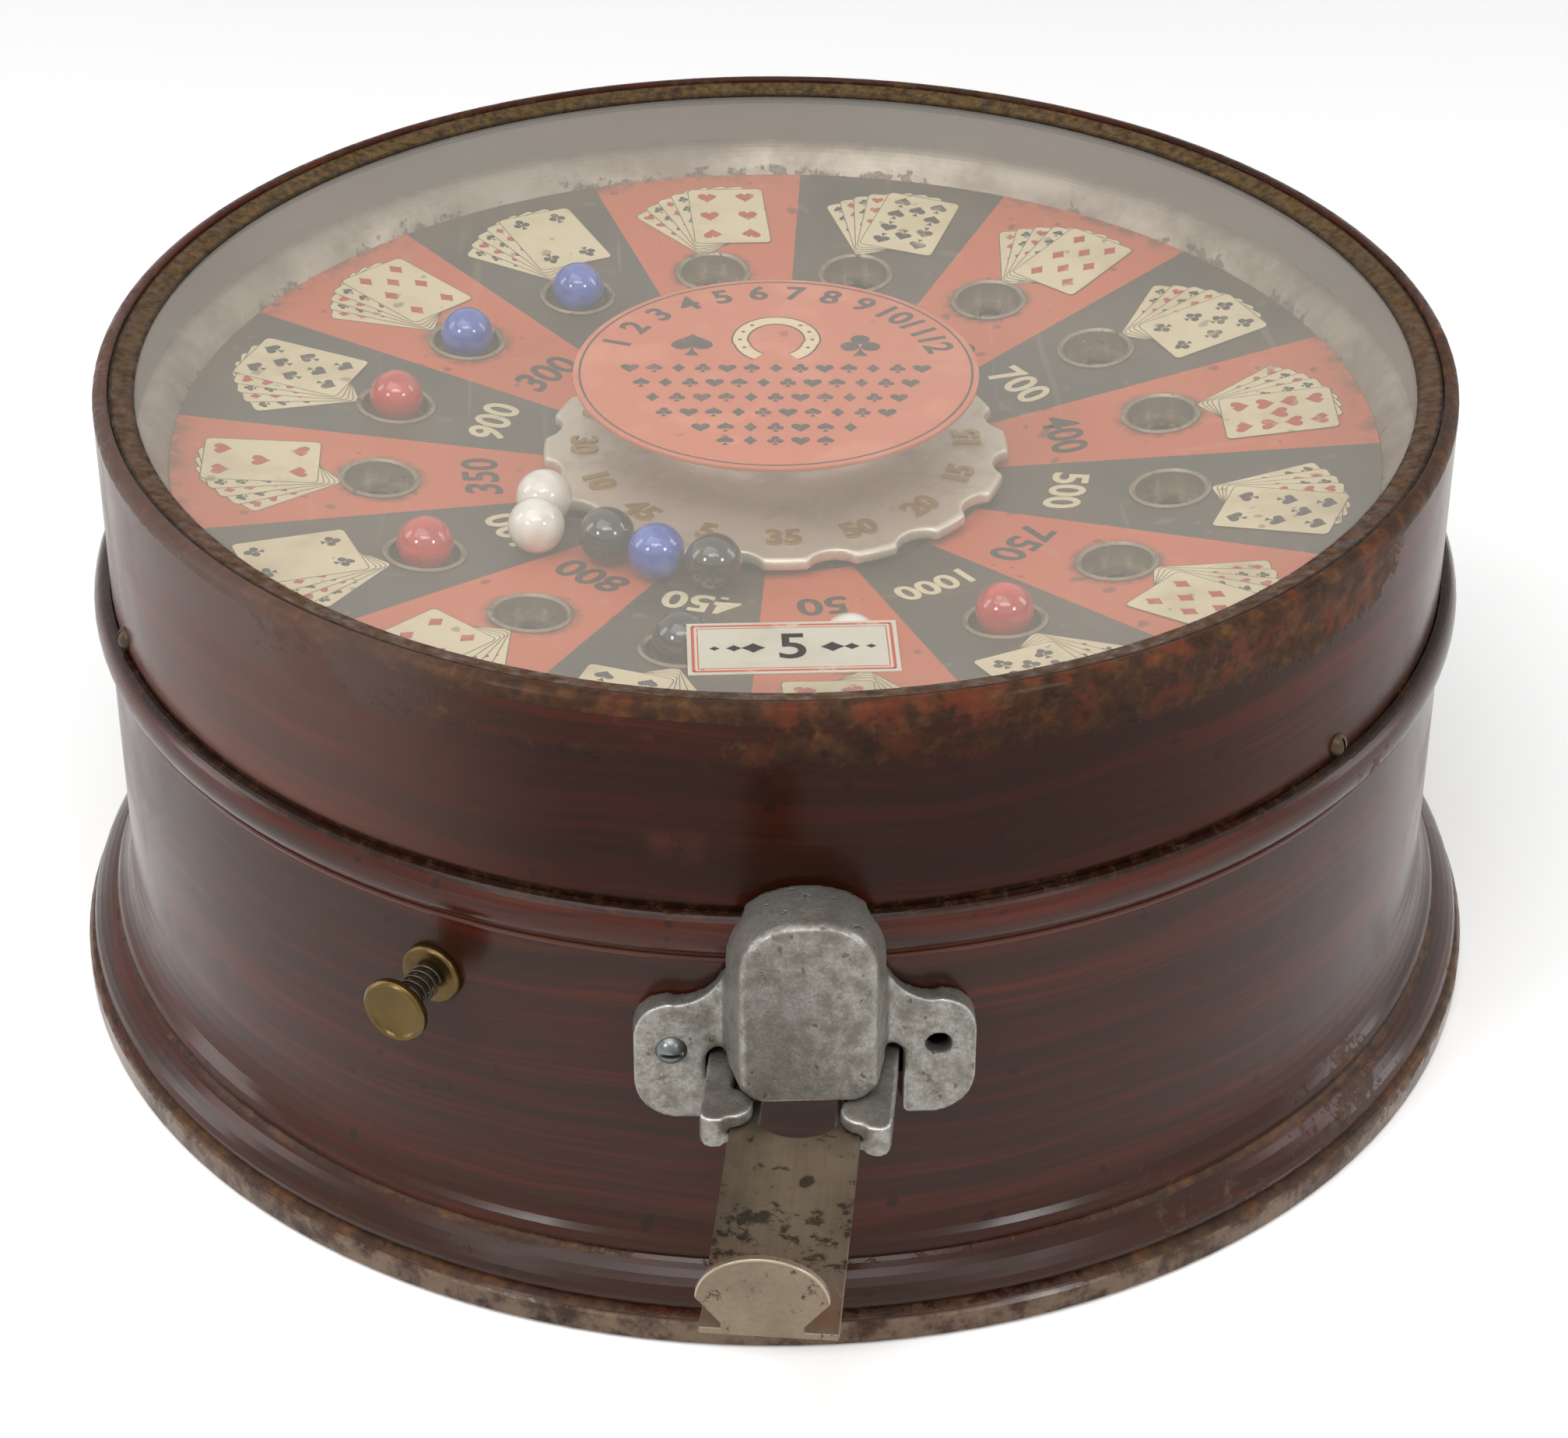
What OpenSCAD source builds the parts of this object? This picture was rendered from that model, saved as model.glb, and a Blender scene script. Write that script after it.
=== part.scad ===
// Counter-top trade stimulator: a round tin case with a glass top, a dished playfield with
// sixteen pockets, a spinning wheel in the middle, loose marbles, a spring plunger that turns
// the wheel and a coin slide that lifts the marbles out of their pockets.
// Millimetres. The origin is on the case axis, on the counter. The coin slide is at -Y.

/* [Case] */
// Outer radius of the lower case wall
case_r = 176; // [160:1:200]
// Thickness of the case sheet
case_wall = 1.2; // [0.8:0.1:2]
// How far the bottom hem stands out from the wall
hem_out = 14.3; // [10:0.1:20]
// Height of the bottom hem
hem_h = 7.5; // [5:0.5:10]
// Thickness of the rolled hem
hem_t = 2.5; // [1.5:0.1:4]
// Height at which the ridged foot meets the wall
foot_h = 39; // [34:1:46]
// Height of the seam between case and cover
seam_z = 117.5; // [112:0.5:124]
// Projection of the half-round bead below the seam
bead_out = 3.2; // [2:0.1:4]
// Height of that bead
bead_h = 11; // [8:0.5:13]
// Clearance between pieces that slip into each other
slip = 0.3; // [0.2:0.05:0.6]

/* [Cover] */
// Height of the whole machine
overall_h = 172; // [166:0.5:180]
// Thickness of the cover sheet
band_wall = 1.2; // [0.8:0.1:2]
// Height of the rolled rim above the glass
rim_h = 3; // [2.4:0.1:4]
// Width of the rolled rim
rim_w = 3.9; // [3:0.1:5]
// Width of the bezel ring on the glass
bezel_w = 6.6; // [4:0.1:9]
// Thickness of the glass
glass_t = 3; // [2:0.5:4]
// Width of the paper label on the glass
label_w = 48; // [30:1:60]
// Depth of the paper label
label_d = 22; // [14:1:26]
// Thickness of the paper label
label_t = 0.25; // [0.2:0.05:0.4]

/* [Playfield] */
// Width of the bright ledge round the printed field
ledge_w = 9; // [6:0.5:12]
// Depth of the field's edge below the glass
field_drop = 18.6; // [16:0.2:22]
// Rise of the dished field for each millimetre outwards
field_slope = 0.1; // [0.06:0.01:0.14]
// Thickness of the printed sheet
print_t = 0.4; // [0.3:0.1:0.8]
// Thickness of the pan's sheet
pan_t = 1; // [0.8:0.1:1.6]
// Rise of the bright ledge round the field
ledge_rise = 8; // [4:0.5:10]
// Number of pockets
pockets = 16; // [8:1:18]
// Radius of the pocket circle as a share of the field's radius
pocket_share = 0.66115; // [0.6:0.005:0.72]
// Inner diameter of a pocket
pocket_d = 18; // [16:0.1:22]
// Turn of the first pocket
pocket_az = 7.7; // [0:0.1:22]
// Diameter of a marble
marble_d = 14.3; // [12:0.1:15]
// How far a marble's centre stands above the field while it sits in a pocket
marble_rise = 2.7; // [1:0.1:4]

/* [Wheel] */
// Outer radius of the scalloped wheel as a share of the field's radius
wheel_share = 0.38726; // [0.3:0.005:0.4]
// Number of scallops
scallops = 16; // [8:1:24]
// Thickness of the wheel's rim
rim_t = 3.4; // [2.4:0.1:5]
// Radius of the wheel's pedestal
pedestal_r = 25; // [18:0.5:30]
// Radius of the sign disc
sign_r = 52.5; // [40:0.5:56]
// Diameter of the wheel shaft
shaft_d = 8; // [6:0.5:10]
// Running clearance on the radius of a shaft or rod
run_fit = 0.05; // [0.02:0.01:0.1]

/* [Plunger] */
// Angle of the plunger, from the coin slide towards the right
plunger_az = -29.4; // [-40:0.1:-25]
// Height of the plunger's axis
plunger_z = 87.3; // [84:0.1:94]
// Diameter of the plunger rod
rod_d = 5; // [4:0.5:6]
// Diameter of the brass collar
collar_d = 15.5; // [12:0.5:18]
// Thickness of the brass collar
collar_t = 2.4; // [1.5:0.1:4]
// Diameter of the knob
knob_d = 16.5; // [12:0.5:20]
// Thickness of the knob
knob_t = 4; // [3:0.1:6]
// Free length of the return spring
spring_len = 11.8; // [10:0.1:16]
// Mean diameter of the return spring
spring_d = 7.4; // [7:0.1:9]
// Wire of the return spring
wire_d = 0.9; // [0.6:0.1:1.1]
// Curls of the return spring
curls = 5; // [3:1:6]
// Tooth module of the rack and pinion
gear_module = 1.25; // [1:0.05:1.5]
// Teeth of the pinion
pinion_teeth = 14; // [13:1:16]

/* [Coin slide] */
// Lean of the slide in its worn guides
slide_lean = 7.2; // [0:0.1:8]
// Travel of the coin slide
slide_travel = 42; // [30:1:44]
// Width of the blade
blade_w = 30; // [27:0.5:32]
// Thickness of the blade
blade_t = 1.6; // [1.2:0.1:2.2]
// Height of the blade's top face
blade_z = 76; // [74:0.5:78]
// Distance from the case wall to the blade's outer end
blade_out = 94; // [86:1:100]
// Diameter of the coin hole
coin_hole_d = 21.6; // [18:0.1:24]
// Distance from the case wall to the coin hole's centre
coin_hole_out = 17.7; // [14:0.1:20]
// Width of the thumb tab
tab_w = 29; // [24:0.5:34]
// How far the thumb tab stands to the left of the blade's middle
tab_shift = 1.4; // [0:0.1:2]
// Height of the thumb tab above the blade
tab_h = 20; // [14:0.5:24]
// Width of the tab's neck
tab_neck = 18; // [12:0.5:22]
// Distance from the case wall to the tips of the claws
claw_out = 29; // [24:1:32]
// Width of a claw behind its lobe
claw_w = 6.6; // [5:0.1:8]
// Gap between the lobes over the blade
lobe_gap = 20; // [16:0.5:23]
// Rise of the lifting ramp for each millimetre of travel
ramp_slope = 0.15; // [0.1:0.01:0.18]

/* [Coin chute] */
// Width over the chute's ears
ear_span = 79.5; // [74:0.5:86]
// Height of an ear
ear_h = 33; // [28:0.5:38]
// Height of an ear's lower edge
ear_z = 62; // [56:0.5:64]
// Spacing of the ear holes
ear_hole_span = 62; // [56:0.5:66]
// Diameter of the ear holes
ear_hole_d = 6; // [4:0.1:7]
// Distance of the foot of the nose's face from the case wall
nose_out = 21.5; // [18:0.5:26]
// Width of the nose at the case
nose_back_w = 38; // [34:0.5:42]
// Width of the nose at its face
nose_face_w = 30; // [26:0.5:33]
// Height of the nose's top at the case
nose_top = 126.5; // [122:0.5:134]
// Fall of the nose's top from the case to its face
nose_fall = 2; // [1:0.5:8]
// Lean of the nose's face towards the case
nose_lean = 8; // [0:1:12]

/* [Hidden] */
$fn = 96;

// Small amount by which a cutting solid passes the face that it cuts
past = 1;
// Gap between pieces that lie face to face on a curved seat
seat = 0.05;
// Clearance between bodies that move past each other
clear = 0.3;

// Case and cover
hem_r = case_r + hem_out;
case_in_r = case_r - case_wall;
band_r = case_in_r - slip;
band_in_r = band_r - band_wall;
shelf_z = seam_z - 8.3;
shelf_t = 1.4;
shelf_leg = 12;
shelf_in_r = band_in_r - 9;
base_t = 2;
base_r = hem_r - hem_t - slip;
clip_t = 1.6;
clip_w = 22;
clip_depth = 18;
clip_rise = 17;
clip_screw_r = case_in_r - 10;
clip_az = 45;
base_screw_d = 4;
base_head_d = 8;
glass_top_z = overall_h - rim_h;
glass_z = glass_top_z - glass_t;
glass_r = band_in_r - 1;
rim_in_r = band_r - rim_w;
view_r = rim_in_r - bezel_w;
seam_screw_d = 3;
seam_head_d = 6.4;
seam_screw_z = seam_z + seam_head_d / 2 + slip;
seam_screw_az = 48.6;
seam_screws_n = 3;

// Playfield
skirt_r = band_in_r - 1.4;
hoop_t = 2.4;
hoop_r = skirt_r - 3.5;
ledge_r = hoop_r - hoop_t;
field_r = ledge_r - ledge_w;
pocket_circle = field_r * pocket_share;
wheel_r = field_r * wheel_share;
field_edge_z = glass_z - field_drop;
function field_z(r) = field_edge_z - field_slope * (field_r - r);
field_tilt = atan(field_slope);
pan_drop = print_t + seat;
function pan_z(r) = field_z(r) - pan_drop;
flat_r = wheel_r - 5;
centre_z = pan_z(flat_r);
ledge_z = pan_z(field_r) + ledge_rise;
cup_t = 0.8;
cup_lip = 0.8;
cup_lip_t = 0.8;
marble_r = marble_d / 2;
cup_depth = marble_r + clear - marble_rise;
cup_hole_d = 6;
pocket_z = field_z(pocket_circle);
function pocket_angle(k) = pocket_az + 360 / pockets * k;
floor_r = pocket_circle + cup_depth * sin(field_tilt);
floor_z = pocket_z - cup_depth * cos(field_tilt);
marble_pocket_r = pocket_circle - marble_rise * sin(field_tilt);
marble_pocket_z = pocket_z + marble_rise * cos(field_tilt);
loose_r = wheel_r + marble_r - 0.15;
loose_far_r = loose_r + 10.2;
function loose_z(r) = field_z(r) + (marble_r + clear) / cos(field_tilt);
red_pockets = [7, 9, 13];
blue_pockets = [5, 6];
black_pockets = [11];
white_pockets = [12];
loose_white_az = [-152.4, -142.4];
loose_black_az = [-130.7, -105.3];
loose_blue_az = -118.1;

// Wheel and its bearings
wheel_under = 2;
wheel_z = field_z(wheel_r) + wheel_under;
wheel_top_z = wheel_z + rim_t;
boss_z = centre_z + 1.8;
sign_t = 1;
sign_z = glass_z - 1.4 - sign_t;
scallop_r = 7.6;
scallop_depth = 3.6;
shaft_r = shaft_d / 2;
bush_r = shaft_r + 3;
bush_flange_r = shaft_r + 8;
bush_flange_t = 1.5;
bush_len = 17;
nut_af = 2 * bush_r + 7;
nut_t = 5;
bridge_t = 3;
bridge_w = 34;
bridge_x = flat_r - 13.8;
bridge_foot = 11;
bridge_top_z = plunger_z - 8.3;
bridge_screw_d = 3;
step_h = 4.4;
step_r = shaft_r + 4;

// Plunger and drive
pitch_r = gear_module * pinion_teeth / 2;
gear_add = gear_module;
gear_ded = 1.25 * gear_module;
gear_play = 0.12;
pressure = 20;
pinion_t = 6.6;
pinion_z = bridge_top_z + step_h + 0.6;
ratchet_r = 15;
ratchet_teeth = 16;
ratchet_step = 1.6;
ratchet_t = 3;
ratchet_z = pinion_z + pinion_t;
carrier_z = ratchet_z + ratchet_t + 1;
carrier_t = 6;
carrier_r = shaft_r + 6;
pawl_pin_r = ratchet_r + 7;
pawl_pin_d = 3;
rack_t = pinion_t - 0.6;
rack_back = pitch_r + gear_ded + 4.6;
rack_tail = 66;
rack_teeth = 8;
rack_block = 12;
collar_r0 = case_r + 0.1;
spring_r0 = collar_r0 + collar_t;
knob_r0 = spring_r0 + spring_len;
bush_body_d = rod_d + 4;
plunger_nut_af = bush_body_d + 5;
plunger_nut_t = 4;

// Coin slide
blade_low = blade_z - blade_t;
ledge_top = blade_low - clear;
claw_low = ledge_top - 2.1;
lobe_low = blade_z + clear;
claw_top = lobe_low + 3.7;
claw_in = blade_w / 2 + clear;
claw_x = claw_in + claw_w;
lobe_len = 14;
coin_ledge_in = coin_hole_d / 2 - 2.3;
bed_in = 70;
drop_d = coin_hole_d + 3.4;
drop_y = slide_travel - coin_hole_out;
roller_out = 10.2;
roller_y = case_r - pocket_circle - roller_out;
roller_r = 5;
roller_w = 8;
ramp_low_t = 2;
ramp_w = roller_w - 0.4;
ramp_front = roller_y + 3;
ramp_back = roller_y - slide_travel - 3;
roller_z = blade_z + ramp_low_t + clear + roller_r;
lift = slide_travel * ramp_slope;
window_x = claw_x + 1.6;
window_low = claw_low - 1;
window_top = claw_top + 1.2;

// Ejector
ejector_drop = 14.55;
ejector_z = floor_z - cup_t - ejector_drop;
ejector_t = 2;
ejector_in = pocket_circle - 11;
ejector_out = pocket_circle + 12;
pin_d = 5;
post_d = 6;
post_n = 3;
post_low = ejector_z - 14;
cheek_t = 3;
cheek_gap = roller_w / 2 + 0.4;
roller_pin_d = 3;

// Coin chute
ear_front = 3;
ear_back = 8;
ear_x = ear_span / 2;
ear_round = 11;
ear_hole_z = ear_z + 20;
ear_inner = claw_x + 1;
ear_arch = 3;
nose_low = claw_top + 0.5;
nose_wall = 4;
chute_screw_d = 4;
chute_head_d = 7.4;
wall_gap = 0.2;

// Points of an arc about a centre
function arc(cx, cy, r, a0, a1, n) =
    [for (i = [0 : n]) [cx + r * cos(a0 + (a1 - a0) * i / n), cy + r * sin(a0 + (a1 - a0) * i / n)]];
// A list of points from last to first
function reversed(list) = [for (i = [len(list) - 1 : -1 : 0]) list[i]];

// Frames
module around(n, turn) {
    for (k = [0 : n - 1])
        rotate([0, 0, turn + 360 / n * k])
            children();
}
module plunger_frame() {
    rotate([0, 0, plunger_az])
        translate([0, 0, plunger_z])
            children();
}
// Solid along the plunger's axis, drawn along +Z as distance from the case axis
module along_plunger() {
    plunger_frame()
        rotate([90, 0, 0])
            children();
}
module chute_frame() {
    translate([0, -case_r, 0])
        children();
}
module slide_frame() {
    chute_frame()
        rotate([0, 0, -slide_lean])
            children();
}
module at_pocket(k) {
    rotate([0, 0, pocket_angle(k)])
        translate([pocket_circle, 0, pocket_z])
            rotate([0, -field_tilt, 0])
                children();
}
module seam_holes(d) {
    around(seam_screws_n, seam_screw_az - 90)
        translate([band_r - 10, 0, seam_screw_z])
            rotate([0, 90, 0])
                cylinder(d = d, h = 20);
}
module ring(r0, r1, z0, z1) {
    rotate_extrude($fn = 180)
        translate([r0, z0])
            square([r1 - r0, z1 - z0]);
}

// Case profile, from the hem up to the seam. Foot points are shares of the hem's projection and of
// the foot's height above the hem: a groove, a broad roll, a groove, a ridge and a hollow up to the wall.
foot_shape = [[0.75, 0.03], [0.80, 0.05], [0.853, 0.086], [0.862, 0.13], [0.82, 0.181], [0.734, 0.232],
              [0.622, 0.279], [0.503, 0.318], [0.40, 0.343], [0.335, 0.366], [0.36, 0.40], [0.365, 0.445],
              [0.32, 0.492], [0.238, 0.537], [0.161, 0.594], [0.098, 0.667], [0.05, 0.755], [0.018, 0.86]];
function foot_pt(p) = [case_r + hem_out * p[0], hem_h + (foot_h - hem_h) * p[1]];
foot = [for (p = foot_shape) foot_pt(p)];
foot_wall = 1.5;
bead_z = seam_z - bead_h / 2;
bead_steps = 14;
seam_bead = [for (i = [0 : bead_steps])
    let (a = -90 + 180 * i / bead_steps)
    [case_r + bead_out * cos(a), bead_z + bead_h / 2 * sin(a)]];
ridge_r = 0.8;
case_outer = concat(
    [[hem_r - 0.8, 0], [hem_r, 0.8], [hem_r, hem_h - 1.2], [hem_r - 1.2, hem_h]],
    foot,
    [[case_r, foot_h]],
    arc(case_r, seam_z - bead_h - 2 * ridge_r, ridge_r, -90, 90, 4),
    seam_bead);
case_inner = concat(
    [[hem_r - hem_t, 0], [hem_r - hem_t, hem_h - 2]],
    [for (p = foot) [p[0] - foot_wall, p[1]]],
    [[case_in_r, foot_h + 6], [case_in_r, seam_z]]);

module case_window() {
    slide_frame()
        translate([-window_x, -past - 10, window_low])
            cube([2 * window_x, 22, window_top - window_low]);
}
module chute_hole(x, d) {
    chute_frame()
        translate([x, -20, ear_hole_z])
            rotate([-90, 0, 0])
                cylinder(d = d, h = 40);
}
module lower_case() {
    color([0.30, 0.18, 0.15])
        difference() {
            rotate_extrude($fn = 180)
                polygon(concat(case_outer, reversed(case_inner)));
            case_window();
            chute_hole(-ear_hole_span / 2, chute_screw_d + 2 * slip);
            chute_hole(ear_hole_span / 2, ear_hole_d + slip);
            along_plunger()
                translate([0, 0, case_in_r - 4])
                    cylinder(d = bush_body_d + 2 * slip, h = 12);
        }
}
module shelf_ring() {
    leg_r = case_in_r - slip;
    color([0.55, 0.53, 0.50]) {
        ring(shelf_in_r, leg_r, shelf_z - shelf_t, shelf_z);
        ring(leg_r - shelf_t, leg_r, shelf_z - shelf_leg, shelf_z - shelf_t);
    }
}
module base_screw_holes(d) {
    around(4, clip_az)
        translate([clip_screw_r, 0, -past])
            cylinder(d = d, h = 20);
}
module base_plate() {
    color([0.25, 0.17, 0.13])
        difference() {
            cylinder(r = base_r, h = base_t, $fn = 180);
            around(4, clip_az)
                translate([clip_screw_r, 0, 0])
                    cylinder(d1 = base_head_d + 2 * slip, d2 = base_screw_d + 2 * slip, h = base_t);
            base_screw_holes(base_screw_d + 2 * slip);
        }
}
module base_clips() {
    leg_r = case_in_r - slip;
    color([0.55, 0.53, 0.50])
        difference() {
            around(4, clip_az)
                intersection() {
                    union() {
                        ring(leg_r - clip_depth, leg_r, base_t, base_t + clip_t);
                        ring(leg_r - clip_t, leg_r, base_t + clip_t, foot_h + clip_rise);
                    }
                    translate([0, -clip_w / 2, 0])
                        cube([case_r, clip_w, case_r]);
                }
            base_screw_holes(base_screw_d + 2 * seat);
        }
}
module base_screws() {
    color([0.6, 0.58, 0.52])
        around(4, clip_az)
            translate([clip_screw_r, 0, 0]) {
                cylinder(d1 = base_head_d, d2 = base_screw_d, h = base_t);
                cylinder(d = base_screw_d, h = base_t + clip_t + 5);
            }
}

// Cover, rim and glass
rim_round = rim_h * 0.92;
module cover_band() {
    low_z = shelf_z + seat;
    lip_z = glass_top_z + 0.2;
    color([0.29, 0.17, 0.14])
        difference() {
            rotate_extrude($fn = 180)
                polygon(concat(
                    [[band_in_r, low_z], [band_r, low_z]],
                    arc(band_r - rim_round, overall_h - rim_round, rim_round, 0, 90, 6),
                    arc(rim_in_r + 0.9, overall_h - 0.9, 0.9, 90, 180, 3),
                    [[rim_in_r, lip_z], [band_in_r, lip_z]]));
            seam_holes(seam_screw_d + 2 * slip);
        }
}
module bezel_ring() {
    out_r = rim_in_r - 0.25;
    low_z = glass_top_z + seat;
    color([0.42, 0.32, 0.18])
        rotate_extrude($fn = 180)
            polygon([[view_r, low_z], [out_r, low_z], [out_r, overall_h - 1.1],
                     [out_r - 0.9, overall_h - 0.8], [view_r + 0.6, overall_h - 2],
                     [view_r, overall_h - 2.4]]);
}
module glass_top() {
    color([0.8, 0.85, 0.83, 0.35])
        translate([0, 0, glass_z])
            cylinder(r = glass_r, h = glass_t, $fn = 180);
}
module spacer_hoop() {
    color([0.72, 0.70, 0.64])
        ring(ledge_r, hoop_r, ledge_z, glass_z);
}
module price_label() {
    label_y = view_r - 9 - label_d;
    color([0.88, 0.85, 0.76])
        translate([-label_w / 2 - 1.7, -label_y - label_d, glass_top_z])
            cube([label_w, label_d, label_t]);
}
module seam_screws() {
    color([0.35, 0.27, 0.20])
        around(seam_screws_n, seam_screw_az - 90)
            translate([band_r + seat, 0, seam_screw_z])
                rotate([0, 90, 0])
                    difference() {
                        union() {
                            intersection() {
                                translate([0, 0, -1.2])
                                    sphere(r = seam_head_d / 2 + 0.2);
                                cylinder(d = seam_head_d, h = seam_head_d);
                            }
                            translate([0, 0, -6])
                                cylinder(d = seam_screw_d, h = 6.5);
                        }
                        translate([-seam_head_d / 2, -0.4, 1.2])
                            cube([seam_head_d, 0.8, seam_head_d]);
                    }
}

// Playfield
module playfield_pan() {
    pan_edge = pan_z(field_r);
    roll = [for (i = [0 : 8])
        [field_r + ledge_w * i / 8, pan_edge + ledge_rise * (1 - pow(1 - i / 8, 1.8))]];
    under = [for (i = [8 : -1 : 0]) roll[i] + [pan_t / 2, -pan_t]];
    color([0.62, 0.60, 0.55])
        difference() {
            rotate_extrude($fn = 180)
                polygon(concat([[bush_r + slip, centre_z], [flat_r, centre_z]], roll,
                               [[skirt_r, ledge_z], [skirt_r, shelf_z], [skirt_r - pan_t, shelf_z],
                                [skirt_r - pan_t, ledge_z - pan_t]], under,
                               [[flat_r, centre_z - pan_t], [bush_r + slip, centre_z - pan_t]]));
            for (k = [0 : pockets - 1])
                at_pocket(k)
                    translate([0, 0, -6])
                        cylinder(d = pocket_d + 2 * cup_t + 2 * slip, h = 12);
            seam_holes(seam_screw_d + 2 * seat);
            bridge_screw_holes(bridge_screw_d + 2 * slip);
        }
}
module printed_field() {
    in_r = wheel_r - 4;
    color([0.78, 0.45, 0.38])
        difference() {
            rotate_extrude($fn = 180)
                polygon([[in_r, field_z(in_r) - print_t], [field_r, field_z(field_r) - print_t],
                         [field_r, field_z(field_r)], [in_r, field_z(in_r)]]);
            for (k = [0 : pockets - 1])
                at_pocket(k)
                    translate([0, 0, -6])
                        cylinder(d = pocket_d + 2 * cup_t + 2 * slip, h = 12);
        }
}
module pocket_cups() {
    in_r = pocket_d / 2;
    out_r = in_r + cup_t;
    low = -cup_depth;
    color([0.66, 0.64, 0.60])
        for (k = [0 : pockets - 1])
            at_pocket(k)
                rotate_extrude($fn = 48)
                    polygon([[cup_hole_d / 2, low - cup_t], [out_r, low - cup_t], [out_r, 0.12],
                             [out_r + cup_lip, 0.12], [out_r + cup_lip, 0.12 + cup_lip_t / 2],
                             [out_r, 0.12 + cup_lip_t], [in_r, cup_lip_t / 2], [in_r, low],
                             [cup_hole_d / 2, low]]);
}
module marble_set(ks) {
    for (k = ks)
        rotate([0, 0, pocket_angle(k)])
            translate([marble_pocket_r, 0, marble_pocket_z])
                sphere(r = marble_r, $fn = 48);
}
module loose_set(places) {
    for (p = places)
        rotate([0, 0, p[0]])
            translate([p[1], 0, loose_z(p[1])])
                sphere(r = marble_r, $fn = 48);
}
module red_marbles() {
    color([0.75, 0.22, 0.2])
        marble_set(red_pockets);
}
module blue_marbles() {
    color([0.3, 0.42, 0.75])
        marble_set(blue_pockets);
}
module black_marbles() {
    color([0.15, 0.17, 0.16])
        marble_set(black_pockets);
}
module white_marbles() {
    color([0.93, 0.91, 0.87])
        marble_set(white_pockets);
}
module loose_white_marbles() {
    color([0.93, 0.91, 0.87])
        loose_set([[loose_white_az[0], loose_r], [loose_white_az[1], loose_far_r]]);
}
module loose_black_marbles() {
    color([0.15, 0.17, 0.16])
        loose_set([for (a = loose_black_az) [a, loose_r]]);
}
module loose_blue_marble() {
    color([0.3, 0.42, 0.75])
        loose_set([[loose_blue_az, loose_r]]);
}

// Wheel
module wheel() {
    fillet_r = pedestal_r + 9;
    color([0.65, 0.61, 0.55])
        difference() {
            rotate_extrude($fn = 180)
                polygon(concat(
                    [[shaft_r + run_fit, boss_z], [pedestal_r - 4, boss_z], [pedestal_r + 4, wheel_z]],
                    [[wheel_r, wheel_z], [wheel_r, wheel_top_z - 0.6], [wheel_r - 0.6, wheel_top_z]],
                    [[fillet_r + 6, wheel_top_z + 0.4]],
                    arc(fillet_r, wheel_top_z + 9.4, 9, -90, -180, 6),
                    [[pedestal_r, sign_z - 2], [pedestal_r - 2, sign_z], [shaft_r + run_fit, sign_z]]));
            around(scallops, 180 / scallops)
                translate([wheel_r - scallop_depth + scallop_r, 0, wheel_z - past])
                    cylinder(r = scallop_r, h = rim_t + 2 * past, $fn = 48);
            sign_stud_set(sign_z - 8, 12, 3 + 2 * seat);
        }
}
module sign_stud_set(z, h, d) {
    around(2, 0)
        translate([pedestal_r * 0.6, 0, z])
            cylinder(d = d, h = h, $fn = 32);
}
module sign_studs() {
    color([0.6, 0.55, 0.4])
        sign_stud_set(sign_z - 7, 7, 3);
}
module sign_disc() {
    color([0.80, 0.48, 0.40])
        translate([0, 0, sign_z])
            cylinder(r = sign_r, h = sign_t, $fn = 180);
}
module wheel_shaft() {
    low = bridge_top_z + 0.4;
    color([0.6, 0.6, 0.6])
        translate([0, 0, low])
            cylinder(d = shaft_d, h = sign_z - 2 - low);
}
module bridge_screw_holes(d) {
    for (s = [-1, 1], y = [-1, 1])
        translate([s * (bridge_x + bridge_foot / 2 + 1), y * bridge_w / 4, centre_z - 12])
            cylinder(d = d, h = 24, $fn = 32);
}
module bridge() {
    foot_z = centre_z - pan_t - bridge_t;
    bar_low = bridge_top_z - bridge_t;
    color([0.5, 0.5, 0.5])
        difference() {
            union() {
                translate([-bridge_x, -bridge_w / 2, bar_low])
                    cube([2 * bridge_x, bridge_w, bridge_t]);
                for (s = [-1, 1]) {
                    translate([s * (bridge_x - bridge_t / 2) - bridge_t / 2, -bridge_w / 2, bar_low])
                        cube([bridge_t, bridge_w, foot_z + bridge_t - bar_low]);
                    translate([s * (bridge_x + bridge_foot / 2 - bridge_t / 2), 0, foot_z + bridge_t / 2])
                        cube([bridge_foot + bridge_t, bridge_w, bridge_t], center = true);
                }
            }
            bridge_screw_holes(bridge_screw_d + 2 * seat);
            plunger_frame()
                translate([-rod_d / 2 - 4, -60, -8])
                    cube([rack_back + rod_d / 2 + 9, 70, 16]);
        }
}
module bridge_screws() {
    low = centre_z - pan_t - bridge_t - 3;
    color([0.5, 0.48, 0.44])
        for (s = [-1, 1], y = [-1, 1])
            translate([s * (bridge_x + bridge_foot / 2 + 1), y * bridge_w / 4, low]) {
                cylinder(d = bridge_screw_d, h = centre_z - low + 0.2, $fn = 32);
                translate([0, 0, centre_z - low])
                    cylinder(d1 = 6, d2 = 4.4, h = 1.2, $fn = 32);
            }
}
module upper_bush() {
    color([0.72, 0.58, 0.3])
        difference() {
            union() {
                translate([0, 0, centre_z])
                    cylinder(r = bush_flange_r, h = bush_flange_t);
                translate([0, 0, centre_z - bush_len])
                    cylinder(r = bush_r, h = bush_len);
            }
            translate([0, 0, centre_z - bush_len - past])
                cylinder(r = shaft_r + run_fit, h = bush_len + 2 * past + bush_flange_t);
        }
}
module bush_nut() {
    color([0.72, 0.58, 0.3])
        translate([0, 0, centre_z - pan_t - nut_t])
            difference() {
                cylinder(d = nut_af / cos(30), h = nut_t, $fn = 6);
                translate([0, 0, -past])
                    cylinder(r = bush_r + seat, h = nut_t + 2 * past);
            }
}
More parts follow.
